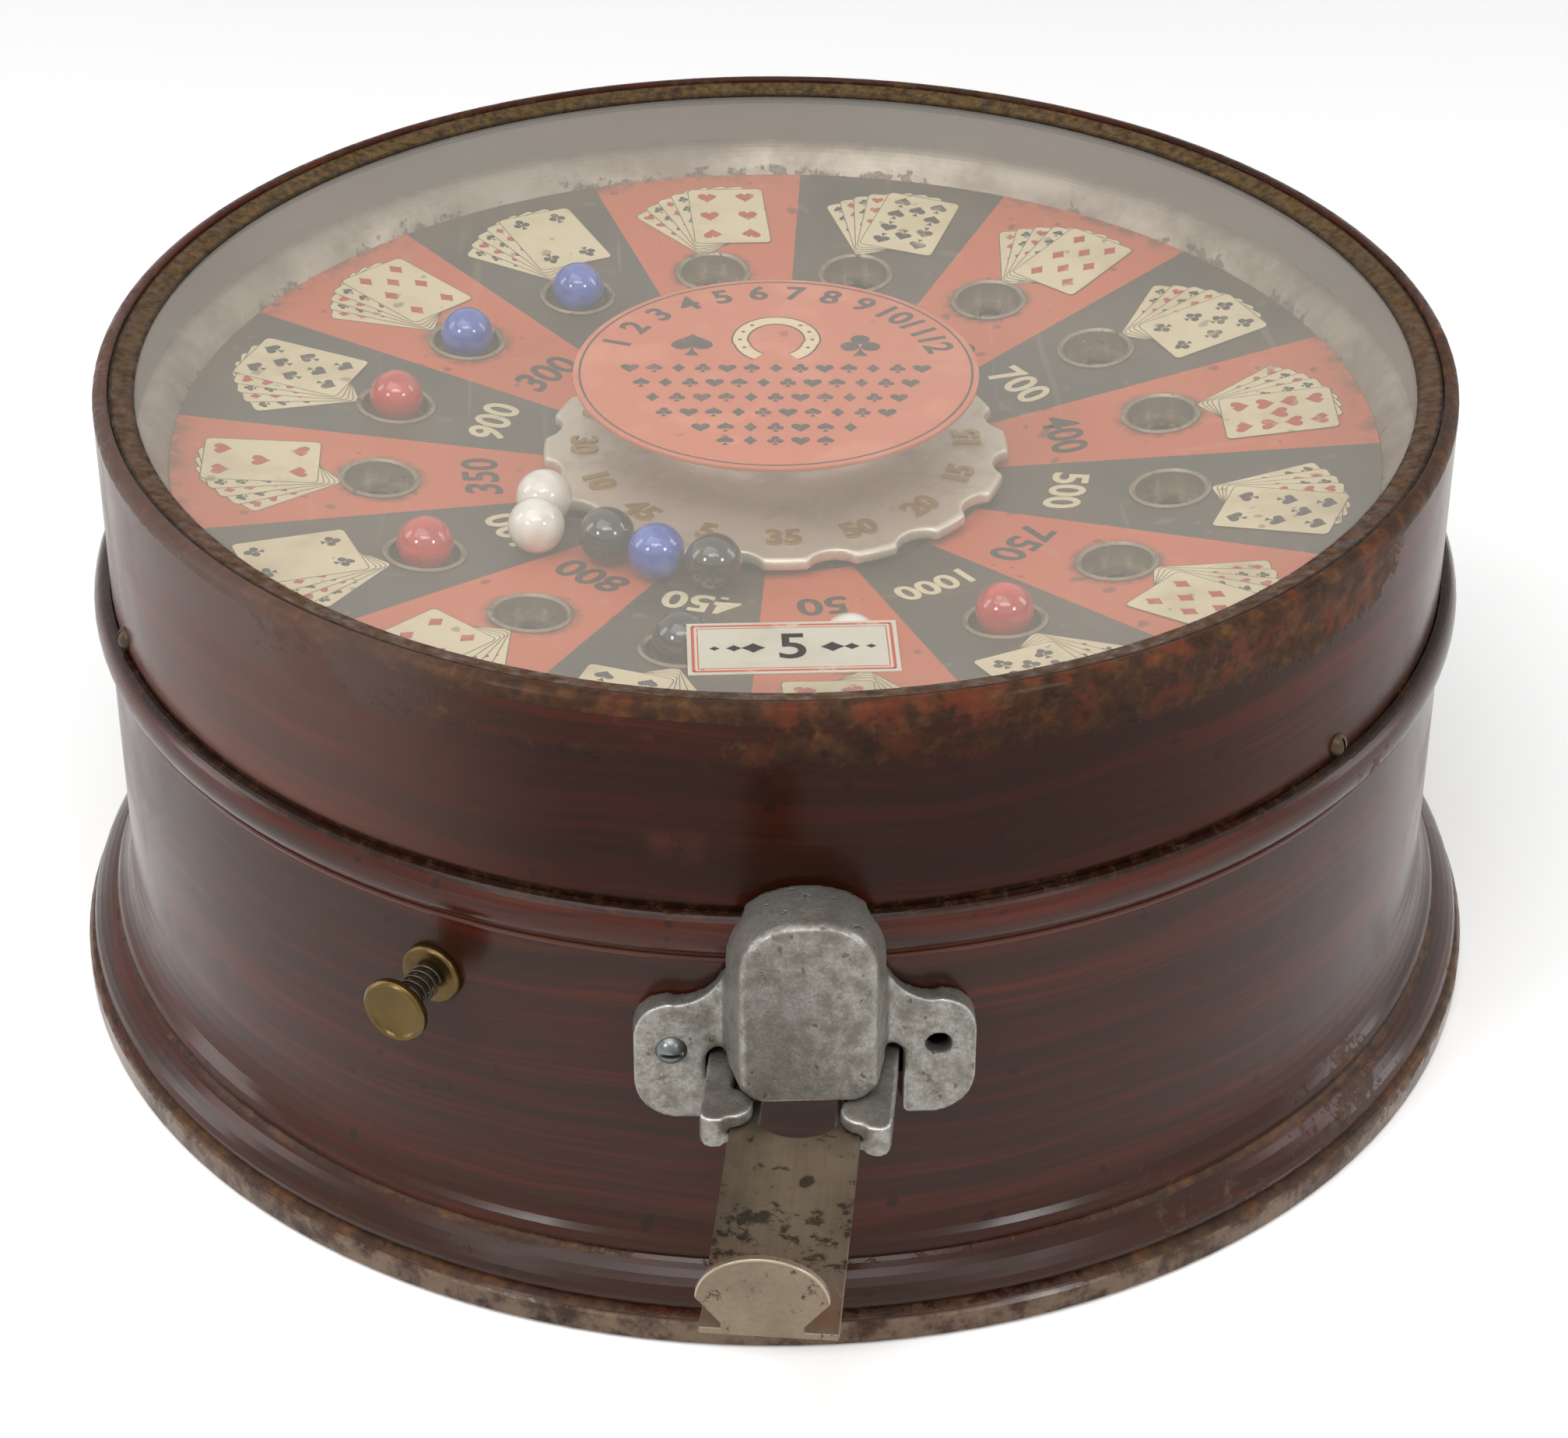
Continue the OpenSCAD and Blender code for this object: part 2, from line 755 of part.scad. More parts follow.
module step_bearing() {
    color([0.72, 0.58, 0.3])
        translate([0, 0, bridge_top_z])
            difference() {
                cylinder(r = step_r, h = step_h);
                translate([0, 0, 0.4])
                    cylinder(r = shaft_r + run_fit, h = step_h);
            }
}

// Drive: rack, pinion, ratchet and pawl
base_circle = pitch_r * cos(pressure);
function involute(r) = sqrt(pow(r / base_circle, 2) - 1) * 180 / PI - acos(base_circle / r);
tooth_half = 90 / pinion_teeth - gear_play / pitch_r * 90 / PI;
flank_steps = 5;
tip_r = pitch_r + gear_add;
root_r = pitch_r - gear_ded;
function flank_r(i) = base_circle + 0.01 + (tip_r - base_circle - 0.01) * i / flank_steps;
function flank_a(i) = tooth_half + involute(pitch_r) - involute(flank_r(i));
function tooth(a) = concat(
    [polar(root_r, a - flank_a(0) - 2)],
    [for (i = [0 : flank_steps]) polar(flank_r(i), a - flank_a(i))],
    [for (i = [flank_steps : -1 : 0]) polar(flank_r(i), a + flank_a(i))],
    [polar(root_r, a + flank_a(0) + 2)]);
function polar(r, a) = [r * cos(a), r * sin(a)];
function joined(lists) = [for (l = lists, p = l) p];
module pinion_outline() {
    polygon(joined([for (k = [0 : pinion_teeth - 1]) tooth(360 / pinion_teeth * k)]));
}
module ratchet_outline() {
    step = 360 / ratchet_teeth;
    polygon(joined([for (k = [0 : ratchet_teeth - 1])
        [polar(ratchet_r, step * k), polar(ratchet_r - ratchet_step, step * k + 0.5)]]));
}
module drive_pinion() {
    color([0.62, 0.58, 0.5])
        rotate([0, 0, plunger_az])
            difference() {
                union() {
                    translate([0, 0, pinion_z])
                        linear_extrude(pinion_t + past / 2)
                            pinion_outline();
                    translate([0, 0, ratchet_z + 0.2])
                        linear_extrude(ratchet_t - 0.2)
                            ratchet_outline();
                }
                translate([0, 0, pinion_z - past])
                    cylinder(r = shaft_r + run_fit, h = pinion_t + ratchet_t + 3 * past);
            }
}
module pawl_carrier() {
    color([0.55, 0.55, 0.55])
        difference() {
            union() {
                translate([0, 0, carrier_z])
                    cylinder(r = carrier_r, h = carrier_t);
                translate([0, -4, carrier_z])
                    cube([pawl_pin_r, 8, 3]);
                translate([pawl_pin_r, 0, carrier_z])
                    cylinder(r = 4, h = 3);
            }
            translate([0, 0, carrier_z - past])
                cylinder(r = shaft_r + run_fit, h = carrier_t + 2 * past);
            translate([pawl_pin_r, 0, carrier_z - past])
                cylinder(d = pawl_pin_d + 2 * seat, h = 6);
            carrier_screw_solid(3 + 2 * seat);
        }
}
module carrier_screw_solid(d) {
    translate([0, shaft_r + 0.3, carrier_z + carrier_t / 2])
        rotate([-90, 0, 0])
            cylinder(d = d, h = carrier_r - shaft_r + 3, $fn = 32);
}
module carrier_screw() {
    color([0.35, 0.35, 0.35])
        carrier_screw_solid(3);
}
module pawl_pin() {
    color([0.6, 0.6, 0.6])
        translate([pawl_pin_r, 0, ratchet_z + 0.2])
            cylinder(d = pawl_pin_d, h = carrier_z + 3 - ratchet_z);
}
module pawl() {
    tip = [ratchet_r + clear, 10.5];
    color([0.45, 0.45, 0.45])
        translate([0, 0, ratchet_z + 0.4])
            difference() {
                linear_extrude(ratchet_t - 0.2)
                    union() {
                        translate([pawl_pin_r, 0])
                            circle(r = 3.6);
                        polygon([[pawl_pin_r - 3.4, 1], [pawl_pin_r + 3.4, 1], tip + [1.2, 2], tip]);
                    }
                translate([pawl_pin_r, 0, -past])
                    cylinder(d = pawl_pin_d + 2 * seat, h = 6);
            }
}
module rack_bar() {
    tooth_pitch = PI * gear_module;
    half_pitch = tooth_pitch / 4 - gear_play / 2;
    tip_half = half_pitch - gear_add * tan(pressure);
    root_half = half_pitch + gear_ded * tan(pressure);
    rack_root = pitch_r + gear_ded;
    tooth_x = pitch_r - gear_add;
    back_low = -rack_teeth / 2 * tooth_pitch;
    color([0.58, 0.56, 0.5])
        plunger_frame()
            difference() {
                union() {
                    translate([0, 0, -rack_t / 2])
                        linear_extrude(rack_t) {
                            translate([rack_root, -rack_tail])
                                square([rack_back - rack_root, rack_tail + rack_teeth / 2 * tooth_pitch]);
                            for (k = [0 : rack_teeth - 1])
                                translate([0, back_low + (k + 0.5) * tooth_pitch])
                                    polygon([[rack_root + 0.01, -root_half], [tooth_x, -tip_half],
                                             [tooth_x, tip_half], [rack_root + 0.01, root_half]]);
                        }
                    translate([-rod_d / 2 - 2.5, -rack_tail - rack_block, -rack_t / 2 - 1.4])
                        cube([rack_back + rod_d / 2 + 2.5, rack_block, rack_t + 2.8]);
                }
                translate([0, -rack_tail - rack_block - past, 0])
                    rotate([-90, 0, 0])
                        cylinder(d = rod_d + 2 * seat, h = rack_block + 2 * past);
                translate([0, -rack_tail - rack_block / 2, -20])
                    cylinder(d = 2 + 2 * seat, h = 40, $fn = 32);
            }
}
module rack_pin() {
    color([0.6, 0.6, 0.6])
        plunger_frame()
            translate([0, -rack_tail - rack_block / 2, -rack_t / 2 - 1.4])
                cylinder(d = 2, h = rack_t + 2.8, $fn = 32);
}
module rack_guide() {
    color([0.5, 0.5, 0.5])
        plunger_frame()
            translate([rack_back + clear, -7, bridge_top_z - plunger_z])
                cube([4, 14, rack_t + 5]);
}
module plunger_rod() {
    color([0.6, 0.58, 0.52])
        along_plunger()
            difference() {
                translate([0, 0, rack_tail])
                    cylinder(d = rod_d, h = knob_r0 + 2 - rack_tail);
                translate([0, -20, rack_tail + rack_block / 2])
                    rotate([-90, 0, 0])
                        cylinder(d = 2 + 2 * seat, h = 40, $fn = 32);
            }
}
module plunger_knob() {
    dish = 0.5;
    rim = 1.4;
    color([0.55, 0.46, 0.28])
        along_plunger()
            translate([0, 0, knob_r0])
                difference() {
                    rotate_extrude()
                        polygon([[0, 0], [spring_d / 2, 0], [knob_d / 2 - 1, 1], [knob_d / 2, 1.8],
                                 [knob_d / 2, knob_t - 0.7], [knob_d / 2 - 0.7, knob_t],
                                 [knob_d / 2 - rim, knob_t], [knob_d / 2 - rim - dish, knob_t - dish],
                                 [0, knob_t - dish]]);
                    translate([0, 0, -past])
                        cylinder(d = rod_d + 2 * seat, h = 2 + past + seat);
                }
}
module plunger_bush() {
    color([0.55, 0.46, 0.28])
        along_plunger()
            difference() {
                union() {
                    translate([0, 0, collar_r0])
                        rotate_extrude()
                            polygon([[0, 0], [collar_d / 2, 0], [collar_d / 2, collar_t - 1],
                                     [collar_d / 2 - 0.6, collar_t - 0.3], [spring_d / 2 + 1.6, collar_t],
                                     [0, collar_t]]);
                    translate([0, 0, case_in_r - 9])
                        cylinder(d = bush_body_d, h = 9 + case_wall + 0.2);
                }
                translate([0, 0, case_in_r - 9 - past])
                    cylinder(d = rod_d + 2 * run_fit, h = 9 + case_wall + collar_t + 3 * past);
            }
}
module plunger_nut() {
    color([0.6, 0.58, 0.5])
        along_plunger()
            translate([0, 0, case_in_r - plunger_nut_t - 0.6])
                difference() {
                    cylinder(d = plunger_nut_af / cos(30), h = plunger_nut_t, $fn = 6);
                    translate([0, 0, -past])
                        cylinder(d = bush_body_d + 2 * seat, h = plunger_nut_t + 2 * past);
                }
}

// Return spring: one tube along a helix whose ends close up
spring_rings = 8 * curls;
spring_sides = 6;
spring_low = wire_d / 2 + 0.1;
spring_high = spring_len - wire_d / 2 - 0.1;
function spring_point(i) =
    let (t = i / spring_rings)
    [spring_d / 2 * cos(360 * curls * t), spring_d / 2 * sin(360 * curls * t),
     spring_low + (spring_high - spring_low) * t];
function spring_ring(i) =
    let (c = spring_point(i), a = 360 * curls * i / spring_rings)
    [for (j = [0 : spring_sides - 1])
        let (b = 360 / spring_sides * j)
        c + wire_d / 2 * [cos(b) * cos(a), cos(b) * sin(a), sin(b)]];
spring_points = [for (i = [0 : spring_rings]) each spring_ring(i)];
function spring_at(i, j) = i * spring_sides + j % spring_sides;
spring_walls = [for (i = [0 : spring_rings - 1], j = [0 : spring_sides - 1])
    each [[spring_at(i, j), spring_at(i, j + 1), spring_at(i + 1, j + 1)],
          [spring_at(i, j), spring_at(i + 1, j + 1), spring_at(i + 1, j)]]];
spring_ends = [for (j = [1 : spring_sides - 2])
    each [[spring_at(0, 0), spring_at(0, j + 1), spring_at(0, j)],
          [spring_at(spring_rings, 0), spring_at(spring_rings, j), spring_at(spring_rings, j + 1)]]];
spring_gap = min([for (i = [0 : spring_rings], k = [i + 6 : 1 : spring_rings])
    norm(spring_point(i) - spring_point(k))]) - wire_d;
echo(spring_self_gap = spring_gap);
module plunger_spring() {
    color([0.25, 0.22, 0.2])
        along_plunger()
            translate([0, 0, spring_r0])
                polyhedron(points = spring_points, faces = concat(spring_walls, spring_ends));
}

// Coin slide
function tab_outline() =
    let (mid = blade_z + tab_h * 0.42, top = tab_h * 0.58)
    concat(
        [[-tab_neck / 2, blade_low], [tab_neck / 2, blade_low], [tab_neck / 2, blade_z + 1.6]],
        [for (i = [0 : 16]) [tab_w / 2 * cos(180 * i / 16), mid + top * sin(180 * i / 16)]],
        [[-tab_neck / 2, blade_z + 1.6]]);
module slide_blade() {
    color([0.52, 0.48, 0.42])
        slide_frame() {
            difference() {
                translate([-blade_w / 2, -blade_out, blade_low])
                    cube([blade_w, blade_out + ramp_front, blade_t]);
                translate([0, -coin_hole_out, blade_low - past])
                    cylinder(d = coin_hole_d, h = blade_t + 2 * past);
                ramp_rivet_set(ramp_rivet_d + 2 * seat, blade_low - past, blade_t + 2 * past);
            }
            translate([-tab_shift, -blade_out + blade_t, 0])
                rotate([90, 0, 0])
                    linear_extrude(blade_t)
                        polygon(tab_outline());
        }
}
ramp_rivet_d = 2.5;
module ramp_rivet_set(d, z, h) {
    for (y = [ramp_back + 6, ramp_front - 6])
        translate([0, y, z])
            cylinder(d = d, h = h, $fn = 32);
}
module lift_ramp() {
    color([0.6, 0.56, 0.5])
        slide_frame()
            difference() {
                translate([-ramp_w / 2, 0, blade_z])
                    rotate([90, 0, 90])
                        linear_extrude(ramp_w)
                            polygon([[ramp_back, 0], [ramp_front, 0], [ramp_front, ramp_low_t - 0.5],
                                     [roller_y + 1, ramp_low_t],
                                     [roller_y - slide_travel, ramp_low_t + lift],
                                     [ramp_back, ramp_low_t + lift]]);
                ramp_rivet_set(ramp_rivet_d + 2 * seat, blade_z - past, 30);
            }
}
module ramp_rivets() {
    color([0.6, 0.6, 0.6])
        slide_frame()
            ramp_rivet_set(ramp_rivet_d, blade_low, blade_t + 1.2);
}
module claw_side() {
    tip_r = claw_w / 2 - 0.3;
    translate([0, 0, claw_low])
        linear_extrude(claw_top - claw_low)
            polygon(concat(
                arc(claw_in + tip_r, -claw_out + tip_r, tip_r, 180, 270, 6),
                arc(claw_x - tip_r, -claw_out + tip_r, tip_r, -90, 0, 6),
                [[claw_x, bed_in], [claw_in, bed_in]]));
    translate([coin_ledge_in, -claw_out + 2, claw_low])
        cube([claw_in - coin_ledge_in + 0.1, claw_out + bed_in - 2, ledge_top - claw_low]);
    translate([claw_in + 0.1, -claw_out + lobe_len / 2, lobe_low])
        linear_extrude(claw_top - lobe_low)
            intersection() {
                circle(r = claw_in + 0.1 - lobe_gap / 2, $fn = 48);
                translate([-lobe_len, -lobe_len])
                    square([lobe_len, 2 * lobe_len]);
            }
}
module slide_bed() {
    color([0.58, 0.57, 0.55])
        slide_frame()
            difference() {
                union() {
                    claw_side();
                    mirror([1, 0, 0])
                        claw_side();
                    translate([-claw_in, 2, claw_low])
                        cube([2 * claw_in, bed_in - 2, ledge_top - claw_low]);
                }
                translate([0, drop_y, claw_low - past])
                    cylinder(d = drop_d, h = 10);
                bracket_screw_set(bracket_screw_d + 2 * seat, claw_low - past, 12);
            }
}
bracket_y = 50;
bracket_w = 36;
bracket_t = 2.4;
bracket_foot = 16;
bracket_screw_d = 3;
module bracket_screw_set(d, z, h) {
    for (s = [-1, 1])
        translate([s * bracket_w / 4, bracket_y + bracket_foot / 2, z])
            cylinder(d = d, h = h, $fn = 32);
}
module slide_bracket() {
    color([0.5, 0.5, 0.48])
        slide_frame()
            difference() {
                translate([-bracket_w / 2, bracket_y, 0]) {
                    translate([0, 0, base_t])
                        cube([bracket_w, bracket_t, claw_low - base_t]);
                    translate([0, 0, base_t])
                        cube([bracket_w, bracket_foot, bracket_t]);
                    translate([0, 0, claw_low - bracket_t])
                        cube([bracket_w, bracket_foot, bracket_t]);
                }
                bracket_screw_set(bracket_screw_d + 2 * seat, -past, claw_low + 2 * past);
            }
}
module bracket_screws() {
    color([0.55, 0.53, 0.5])
        slide_frame() {
            bracket_screw_set(bracket_screw_d, base_t, bracket_t + 0.4);
            bracket_screw_set(5.4, base_t + bracket_t, 1.6);
            bracket_screw_set(bracket_screw_d, claw_low - bracket_t - 0.4, bracket_t + 2);
            bracket_screw_set(5.4, claw_low - bracket_t - 1.6, 1.6);
        }
}
tray_w = 60;
tray_d = 36;
tray_h = 26;
tray_t = 1;
tray_y = 12;
module coin_tray() {
    color([0.6, 0.58, 0.54])
        slide_frame()
            translate([-tray_w / 2, tray_y, base_t])
                difference() {
                    cube([tray_w, tray_d, tray_h]);
                    translate([tray_t, tray_t, tray_t])
                        cube([tray_w - 2 * tray_t, tray_d - 2 * tray_t, tray_h]);
                }
}

// Ejector
module post_set(d, z, h) {
    for (i = [0 : post_n - 1])
        rotate([0, 0, pocket_angle(floor(i * pockets / post_n) + 0.5)])
            translate([pocket_circle, 0, z])
                cylinder(d = d, h = h, $fn = 48);
}
module guide_posts() {
    top = pan_z(pocket_circle) - pan_t - field_slope * post_d / 2 - 0.05;
    color([0.6, 0.6, 0.58])
        post_set(post_d, post_low, top - post_low);
}
module post_collars() {
    color([0.5, 0.5, 0.5])
        difference() {
            post_set(post_d + 5, post_low, 3);
            post_set(post_d + 2 * seat, post_low - past, 6);
        }
}
module ejector_plate() {
    stem_top = ejector_z + ejector_t;
    cheek_low = roller_z - 4;
    color([0.6, 0.58, 0.54])
        difference() {
            union() {
                ring(ejector_in, ejector_out, ejector_z, stem_top);
                slide_frame()
                    for (s = [-1, 1])
                        translate([s * (cheek_gap + cheek_t / 2) - cheek_t / 2, roller_y - 5, cheek_low])
                            cube([cheek_t, 10, stem_top - cheek_low]);
            }
            post_set(post_d + 2 * run_fit, ejector_z - past, ejector_t + 2 * past);
            slide_frame()
                translate([-20, roller_y, roller_z])
                    rotate([0, 90, 0])
                        cylinder(d = roller_pin_d + 2 * seat, h = 40, $fn = 32);
        }
}
filled_pockets = concat(red_pockets, blue_pockets, black_pockets, white_pockets);
module ejector_pins() {
    marble_low = marble_pocket_z - marble_r;
    empty_top = floor_z - cup_t;
    plate_top = ejector_z + ejector_t;
    color([0.6, 0.6, 0.6])
        for (k = [0 : pockets - 1])
            rotate([0, 0, pocket_angle(k)])
                translate([floor_r, 0, plate_top])
                    cylinder(d = pin_d, h = (len(search(k, filled_pockets)) > 0 ? marble_low : empty_top)
                                            - plate_top, $fn = 32);
}
module roller_pin() {
    half = cheek_gap + cheek_t;
    color([0.6, 0.6, 0.6])
        slide_frame()
            translate([-half, roller_y, roller_z])
                rotate([0, 90, 0])
                    cylinder(d = roller_pin_d, h = 2 * half, $fn = 32);
}
module follower_roller() {
    color([0.7, 0.58, 0.32])
        slide_frame()
            translate([-roller_w / 2, roller_y, roller_z])
                rotate([0, 90, 0])
                    difference() {
                        cylinder(r = roller_r, h = roller_w, $fn = 64);
                        translate([0, 0, -past])
                            cylinder(d = roller_pin_d + 2 * run_fit, h = roller_w + 2 * past);
                    }
}

// Coin chute
module nose_slice(w, top, y, lean, round_r, cut, grow) {
    half = w / 2 + grow;
    low = -grow;
    high = top - nose_low - round_r;
    translate([0, y, nose_low])
        rotate([90 - lean, 0, 0])
            linear_extrude(0.01) {
                polygon([[-half + cut, low], [half - cut, low], [half, low + cut], [half, high],
                         [-half, high], [-half, low + cut]]);
                for (s = [-1, 1])
                    translate([s * (w / 2 - round_r), high])
                        circle(r = round_r + grow, $fn = 40);
            }
}
module nose_solid(shrink) {
    face_top = nose_top - nose_fall;
    mid_w = nose_back_w - 2;
    brow_w = nose_face_w + 1.6;
    hull() {
        nose_slice(nose_back_w, nose_top, 3, 0, nose_back_w / 2 - 0.5, 0.5, -shrink);
        nose_slice(mid_w, nose_top - 0.4, -nose_out * 0.4, nose_lean / 2, mid_w / 2 - 1.5, 1.5, -shrink);
        nose_slice(brow_w, face_top + 0.8, -nose_out + 1.5 + shrink, nose_lean, brow_w / 2 - 3, 3, -shrink);
        nose_slice(nose_face_w, face_top, -nose_out + shrink, nose_lean, nose_face_w / 2 - 3.5, 4.5,
                   -shrink);
    }
}
ear_blend = 13;
function ear_outline() =
    let (top = ear_z + ear_h, side = nose_back_w / 2)
    concat(
        [[side - 8, nose_low]],
        arc(ear_inner - ear_arch, nose_low + 2 - ear_arch, ear_arch, 90, 0, 5),
        [[ear_inner, ear_z + 1], [ear_inner + 1, ear_z]],
        arc(ear_x - ear_round, ear_z + ear_round, ear_round, -80, 0, 6),
        arc(ear_x - ear_round + 2, top - ear_round + 2, ear_round - 2, 0, 90, 6),
        arc(side + ear_blend - 1, top + ear_blend - 0.5, ear_blend, -90, -170, 6),
        [[side - 8, top + ear_blend]]);
module case_envelope() {
    rotate_extrude($fn = 180)
        polygon([[100, 0], [case_r + wall_gap, 0], [case_r + wall_gap, seam_z - bead_h - 4],
                 [case_r + bead_out + wall_gap, seam_z - bead_h - 1],
                 [case_r + bead_out + wall_gap, seam_z + 1], [case_r, seam_z + 3],
                 [case_r, overall_h], [100, overall_h]]);
}
module chute_cover() {
    color([0.58, 0.58, 0.57])
        difference() {
            chute_frame()
                difference() {
                    union() {
                        nose_solid(0);
                        for (s = [0, 1])
                            mirror([s, 0, 0])
                                translate([0, ear_back - ear_front, 0])
                                    rotate([90, 0, 0])
                                        linear_extrude(ear_back)
                                            polygon(ear_outline());
                    }
                    translate([0, 0, -past])
                        nose_solid(nose_wall);
                    translate([-nose_face_w / 2 + nose_wall, -nose_out + nose_wall, nose_low - 8])
                        cube([nose_face_w - 2 * nose_wall, nose_out + 8, 16]);
                }
            case_envelope();
            chute_hole(-ear_hole_span / 2, chute_screw_d + 2 * slip);
            chute_hole(ear_hole_span / 2, ear_hole_d);
        }
}
module chute_screw() {
    x = -ear_hole_span / 2;
    color([0.6, 0.62, 0.64])
        chute_frame()
            translate([x, -ear_front, ear_hole_z])
                rotate([90, 0, 0])
                    difference() {
                        union() {
                            intersection() {
                                translate([0, 0, -1.6])
                                    sphere(r = chute_head_d / 2 + 0.4);
                                cylinder(d = chute_head_d, h = chute_head_d);
                            }
                            translate([0, 0, -16])
                                cylinder(d = chute_screw_d, h = 16.5);
                        }
                        translate([-chute_head_d / 2, -0.5, 1.3])
                            cube([chute_head_d, 1, chute_head_d]);
                    }
}
module chute_nut() {
    x = -ear_hole_span / 2;
    wall_y = case_r - sqrt(pow(case_in_r, 2) - pow(-x + 4, 2));
    color([0.6, 0.6, 0.6])
        chute_frame()
            translate([x, wall_y + 0.1, ear_hole_z])
                rotate([-90, 0, 0])
                    difference() {
                        cylinder(d = 8, h = 3, $fn = 6);
                        translate([0, 0, -past])
                            cylinder(d = chute_screw_d + 2 * seat, h = 6);
                    }
}

lower_case();
shelf_ring();
base_plate();
base_clips();
base_screws();
cover_band();
bezel_ring();
glass_top();
spacer_hoop();
price_label();
playfield_pan();
printed_field();
pocket_cups();
seam_screws();
bridge();
bridge_screws();
upper_bush();
bush_nut();
step_bearing();
plunger_bush();
plunger_nut();
chute_cover();
chute_screw();
chute_nut();
slide_bed();
slide_bracket();
bracket_screws();
coin_tray();
guide_posts();
post_collars();
rack_guide();
wheel();
sign_disc();
sign_studs();
wheel_shaft();
pawl_carrier();
carrier_screw();
pawl();
pawl_pin();
drive_pinion();
plunger_knob();
plunger_rod();
rack_bar();
rack_pin();
plunger_spring();
slide_blade();
lift_ramp();
ramp_rivets();
ejector_plate();
ejector_pins();
roller_pin();
follower_roller();
red_marbles();
blue_marbles();
black_marbles();
white_marbles();
loose_white_marbles();
loose_black_marbles();
loose_blue_marble();
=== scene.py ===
"""Looks of a round counter-top trade stimulator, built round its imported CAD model."""

import math

import bmesh
import bpy
import numpy as np
from mathutils import Matrix, Vector


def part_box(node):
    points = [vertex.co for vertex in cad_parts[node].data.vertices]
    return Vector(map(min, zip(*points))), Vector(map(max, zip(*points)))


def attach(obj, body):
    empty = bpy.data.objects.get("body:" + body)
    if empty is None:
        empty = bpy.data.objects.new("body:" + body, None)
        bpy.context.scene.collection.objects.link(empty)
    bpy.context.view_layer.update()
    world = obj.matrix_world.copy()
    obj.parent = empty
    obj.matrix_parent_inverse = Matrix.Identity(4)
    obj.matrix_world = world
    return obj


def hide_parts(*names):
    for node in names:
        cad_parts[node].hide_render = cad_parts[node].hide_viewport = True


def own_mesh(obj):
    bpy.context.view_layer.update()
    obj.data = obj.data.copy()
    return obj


bl_info = {
    "name": "Trade stimulator looks",
    "version": (1, 0, 0),
    "blender": (4, 5, 0),
    "location": "3D View > Sidebar > Stimulator",
    "description": "Builds the printed, cast and enamelled surfaces of a trade stimulator",
    "category": "Object",
}

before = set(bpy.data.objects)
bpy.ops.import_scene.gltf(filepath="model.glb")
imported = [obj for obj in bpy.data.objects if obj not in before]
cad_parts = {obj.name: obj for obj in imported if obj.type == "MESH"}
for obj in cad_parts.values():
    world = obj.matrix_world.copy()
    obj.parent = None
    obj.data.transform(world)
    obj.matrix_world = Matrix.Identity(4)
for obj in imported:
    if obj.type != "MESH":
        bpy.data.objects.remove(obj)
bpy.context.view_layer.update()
MM = 0.001

# Camera and lamps; the turn is that of the photograph's frame against the object's frame
PHOTO_TURN = math.radians(-2.4)
CAMERA_AT = (-0.03489, -0.88862, 0.6295)
CAMERA_TILT = math.radians(57.24)
CAMERA_ROLL = math.radians(0.17)
LAMP_AIM = Vector((0, 0, 0.1))
# Name, place, width and length of each lamp, and the setting that holds its power
LAMPS = (
    ("key_lamp", (-0.35, -0.5, 1.5), (1.3, 1.0), "key"),
    ("strip_lamp", (0.0, -0.85, 1.3), (1.0, 0.28), "strip"),
    ("front_left_lamp", (-0.76, -0.84, 0.8), (0.22, 0.22), "front"),
    ("front_right_lamp", (0.70, -0.90, 0.8), (0.22, 0.22), "front"),
    ("left_lamp", (-1.25, 0.1, 0.55), (0.35, 1.1), "side"),
    ("right_lamp", (1.25, 0.1, 0.55), (0.35, 1.1), "side"),
)
FLOOR_HALF = 6.0
FLOOR_HEIGHT = -0.2 * MM

# Printed field
WEDGES = 16
WEDGE = math.tau / WEDGES
FIRST_WEDGE = math.radians(7.7)
PRINT_TURN = math.radians(-1.3)
POCKET_CIRCLE = 103.8 * MM
NUMBER_CIRCLE = 77 * MM
CARD_CIRCLE = 135 * MM
FIELD_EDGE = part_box("printed_field")[1]
FIELD_SLOPE = 0.1
FIELD_NUMBERS = (400, 700, 200, 600, 250, 150, 300, 900, 350, 100, 800, 450, 50, 1000, 750, 500)
TOP_CARDS = (9, 7, 8, 10, 6, 4, 7, 8, 5, 4, 6, 9, 5, 10, 8, 7)
SUITS = ("heart", "spade", "diamond", "club")
PRINT_LIFT = 0.06 * MM

# Wheel and sign
WHEEL_NUMBERS = (15, 20, 10, 55, 5, 40, 25, 60, 30, 10, 45, 5, 35, 50, 20, 15)
WHEEL_NUMBER_CIRCLE = 50.5 * MM
SIGN_NUMBER_CIRCLE = 44 * MM
SIGN_LINE_CIRCLE = 50.8 * MM
# Number of small suits in each row of the sign, and the row's place in millimetres
SIGN_ROWS = ((13, 1), (12, -7), (11, -15), (10, -23), (7, -31), (5, -38))

# Coin slide and plunger
SLIDE_PIVOT = (0, -176 * MM, 0)
SLIDE_LEAN = math.radians(7.2)
PLUNGER_TURN = math.radians(-29.4)
PLUNGER_HEIGHT = 87.3 * MM
SPRING_SEAT = 178.5 * MM
SPRING_HEAD = 190.3 * MM


def polar(radius, angle, height):
    """A point from its distance to the case axis, its angle and its height."""
    return (radius * math.cos(angle), radius * math.sin(angle), height)


def field_height(radius):
    """Height of the dished printed field at a distance from the case axis."""
    return FIELD_EDGE.z - FIELD_SLOPE * (FIELD_EDGE.x - radius)


def rgb(red, green, blue):
    """A linear colour from sRGB numbers of 0 to 255."""
    def line(value):
        value /= 255
        return value / 12.92 if value <= 0.04045 else ((value + 0.055) / 1.055) ** 2.4
    return (line(red), line(green), line(blue), 1.0)


# Shader helpers

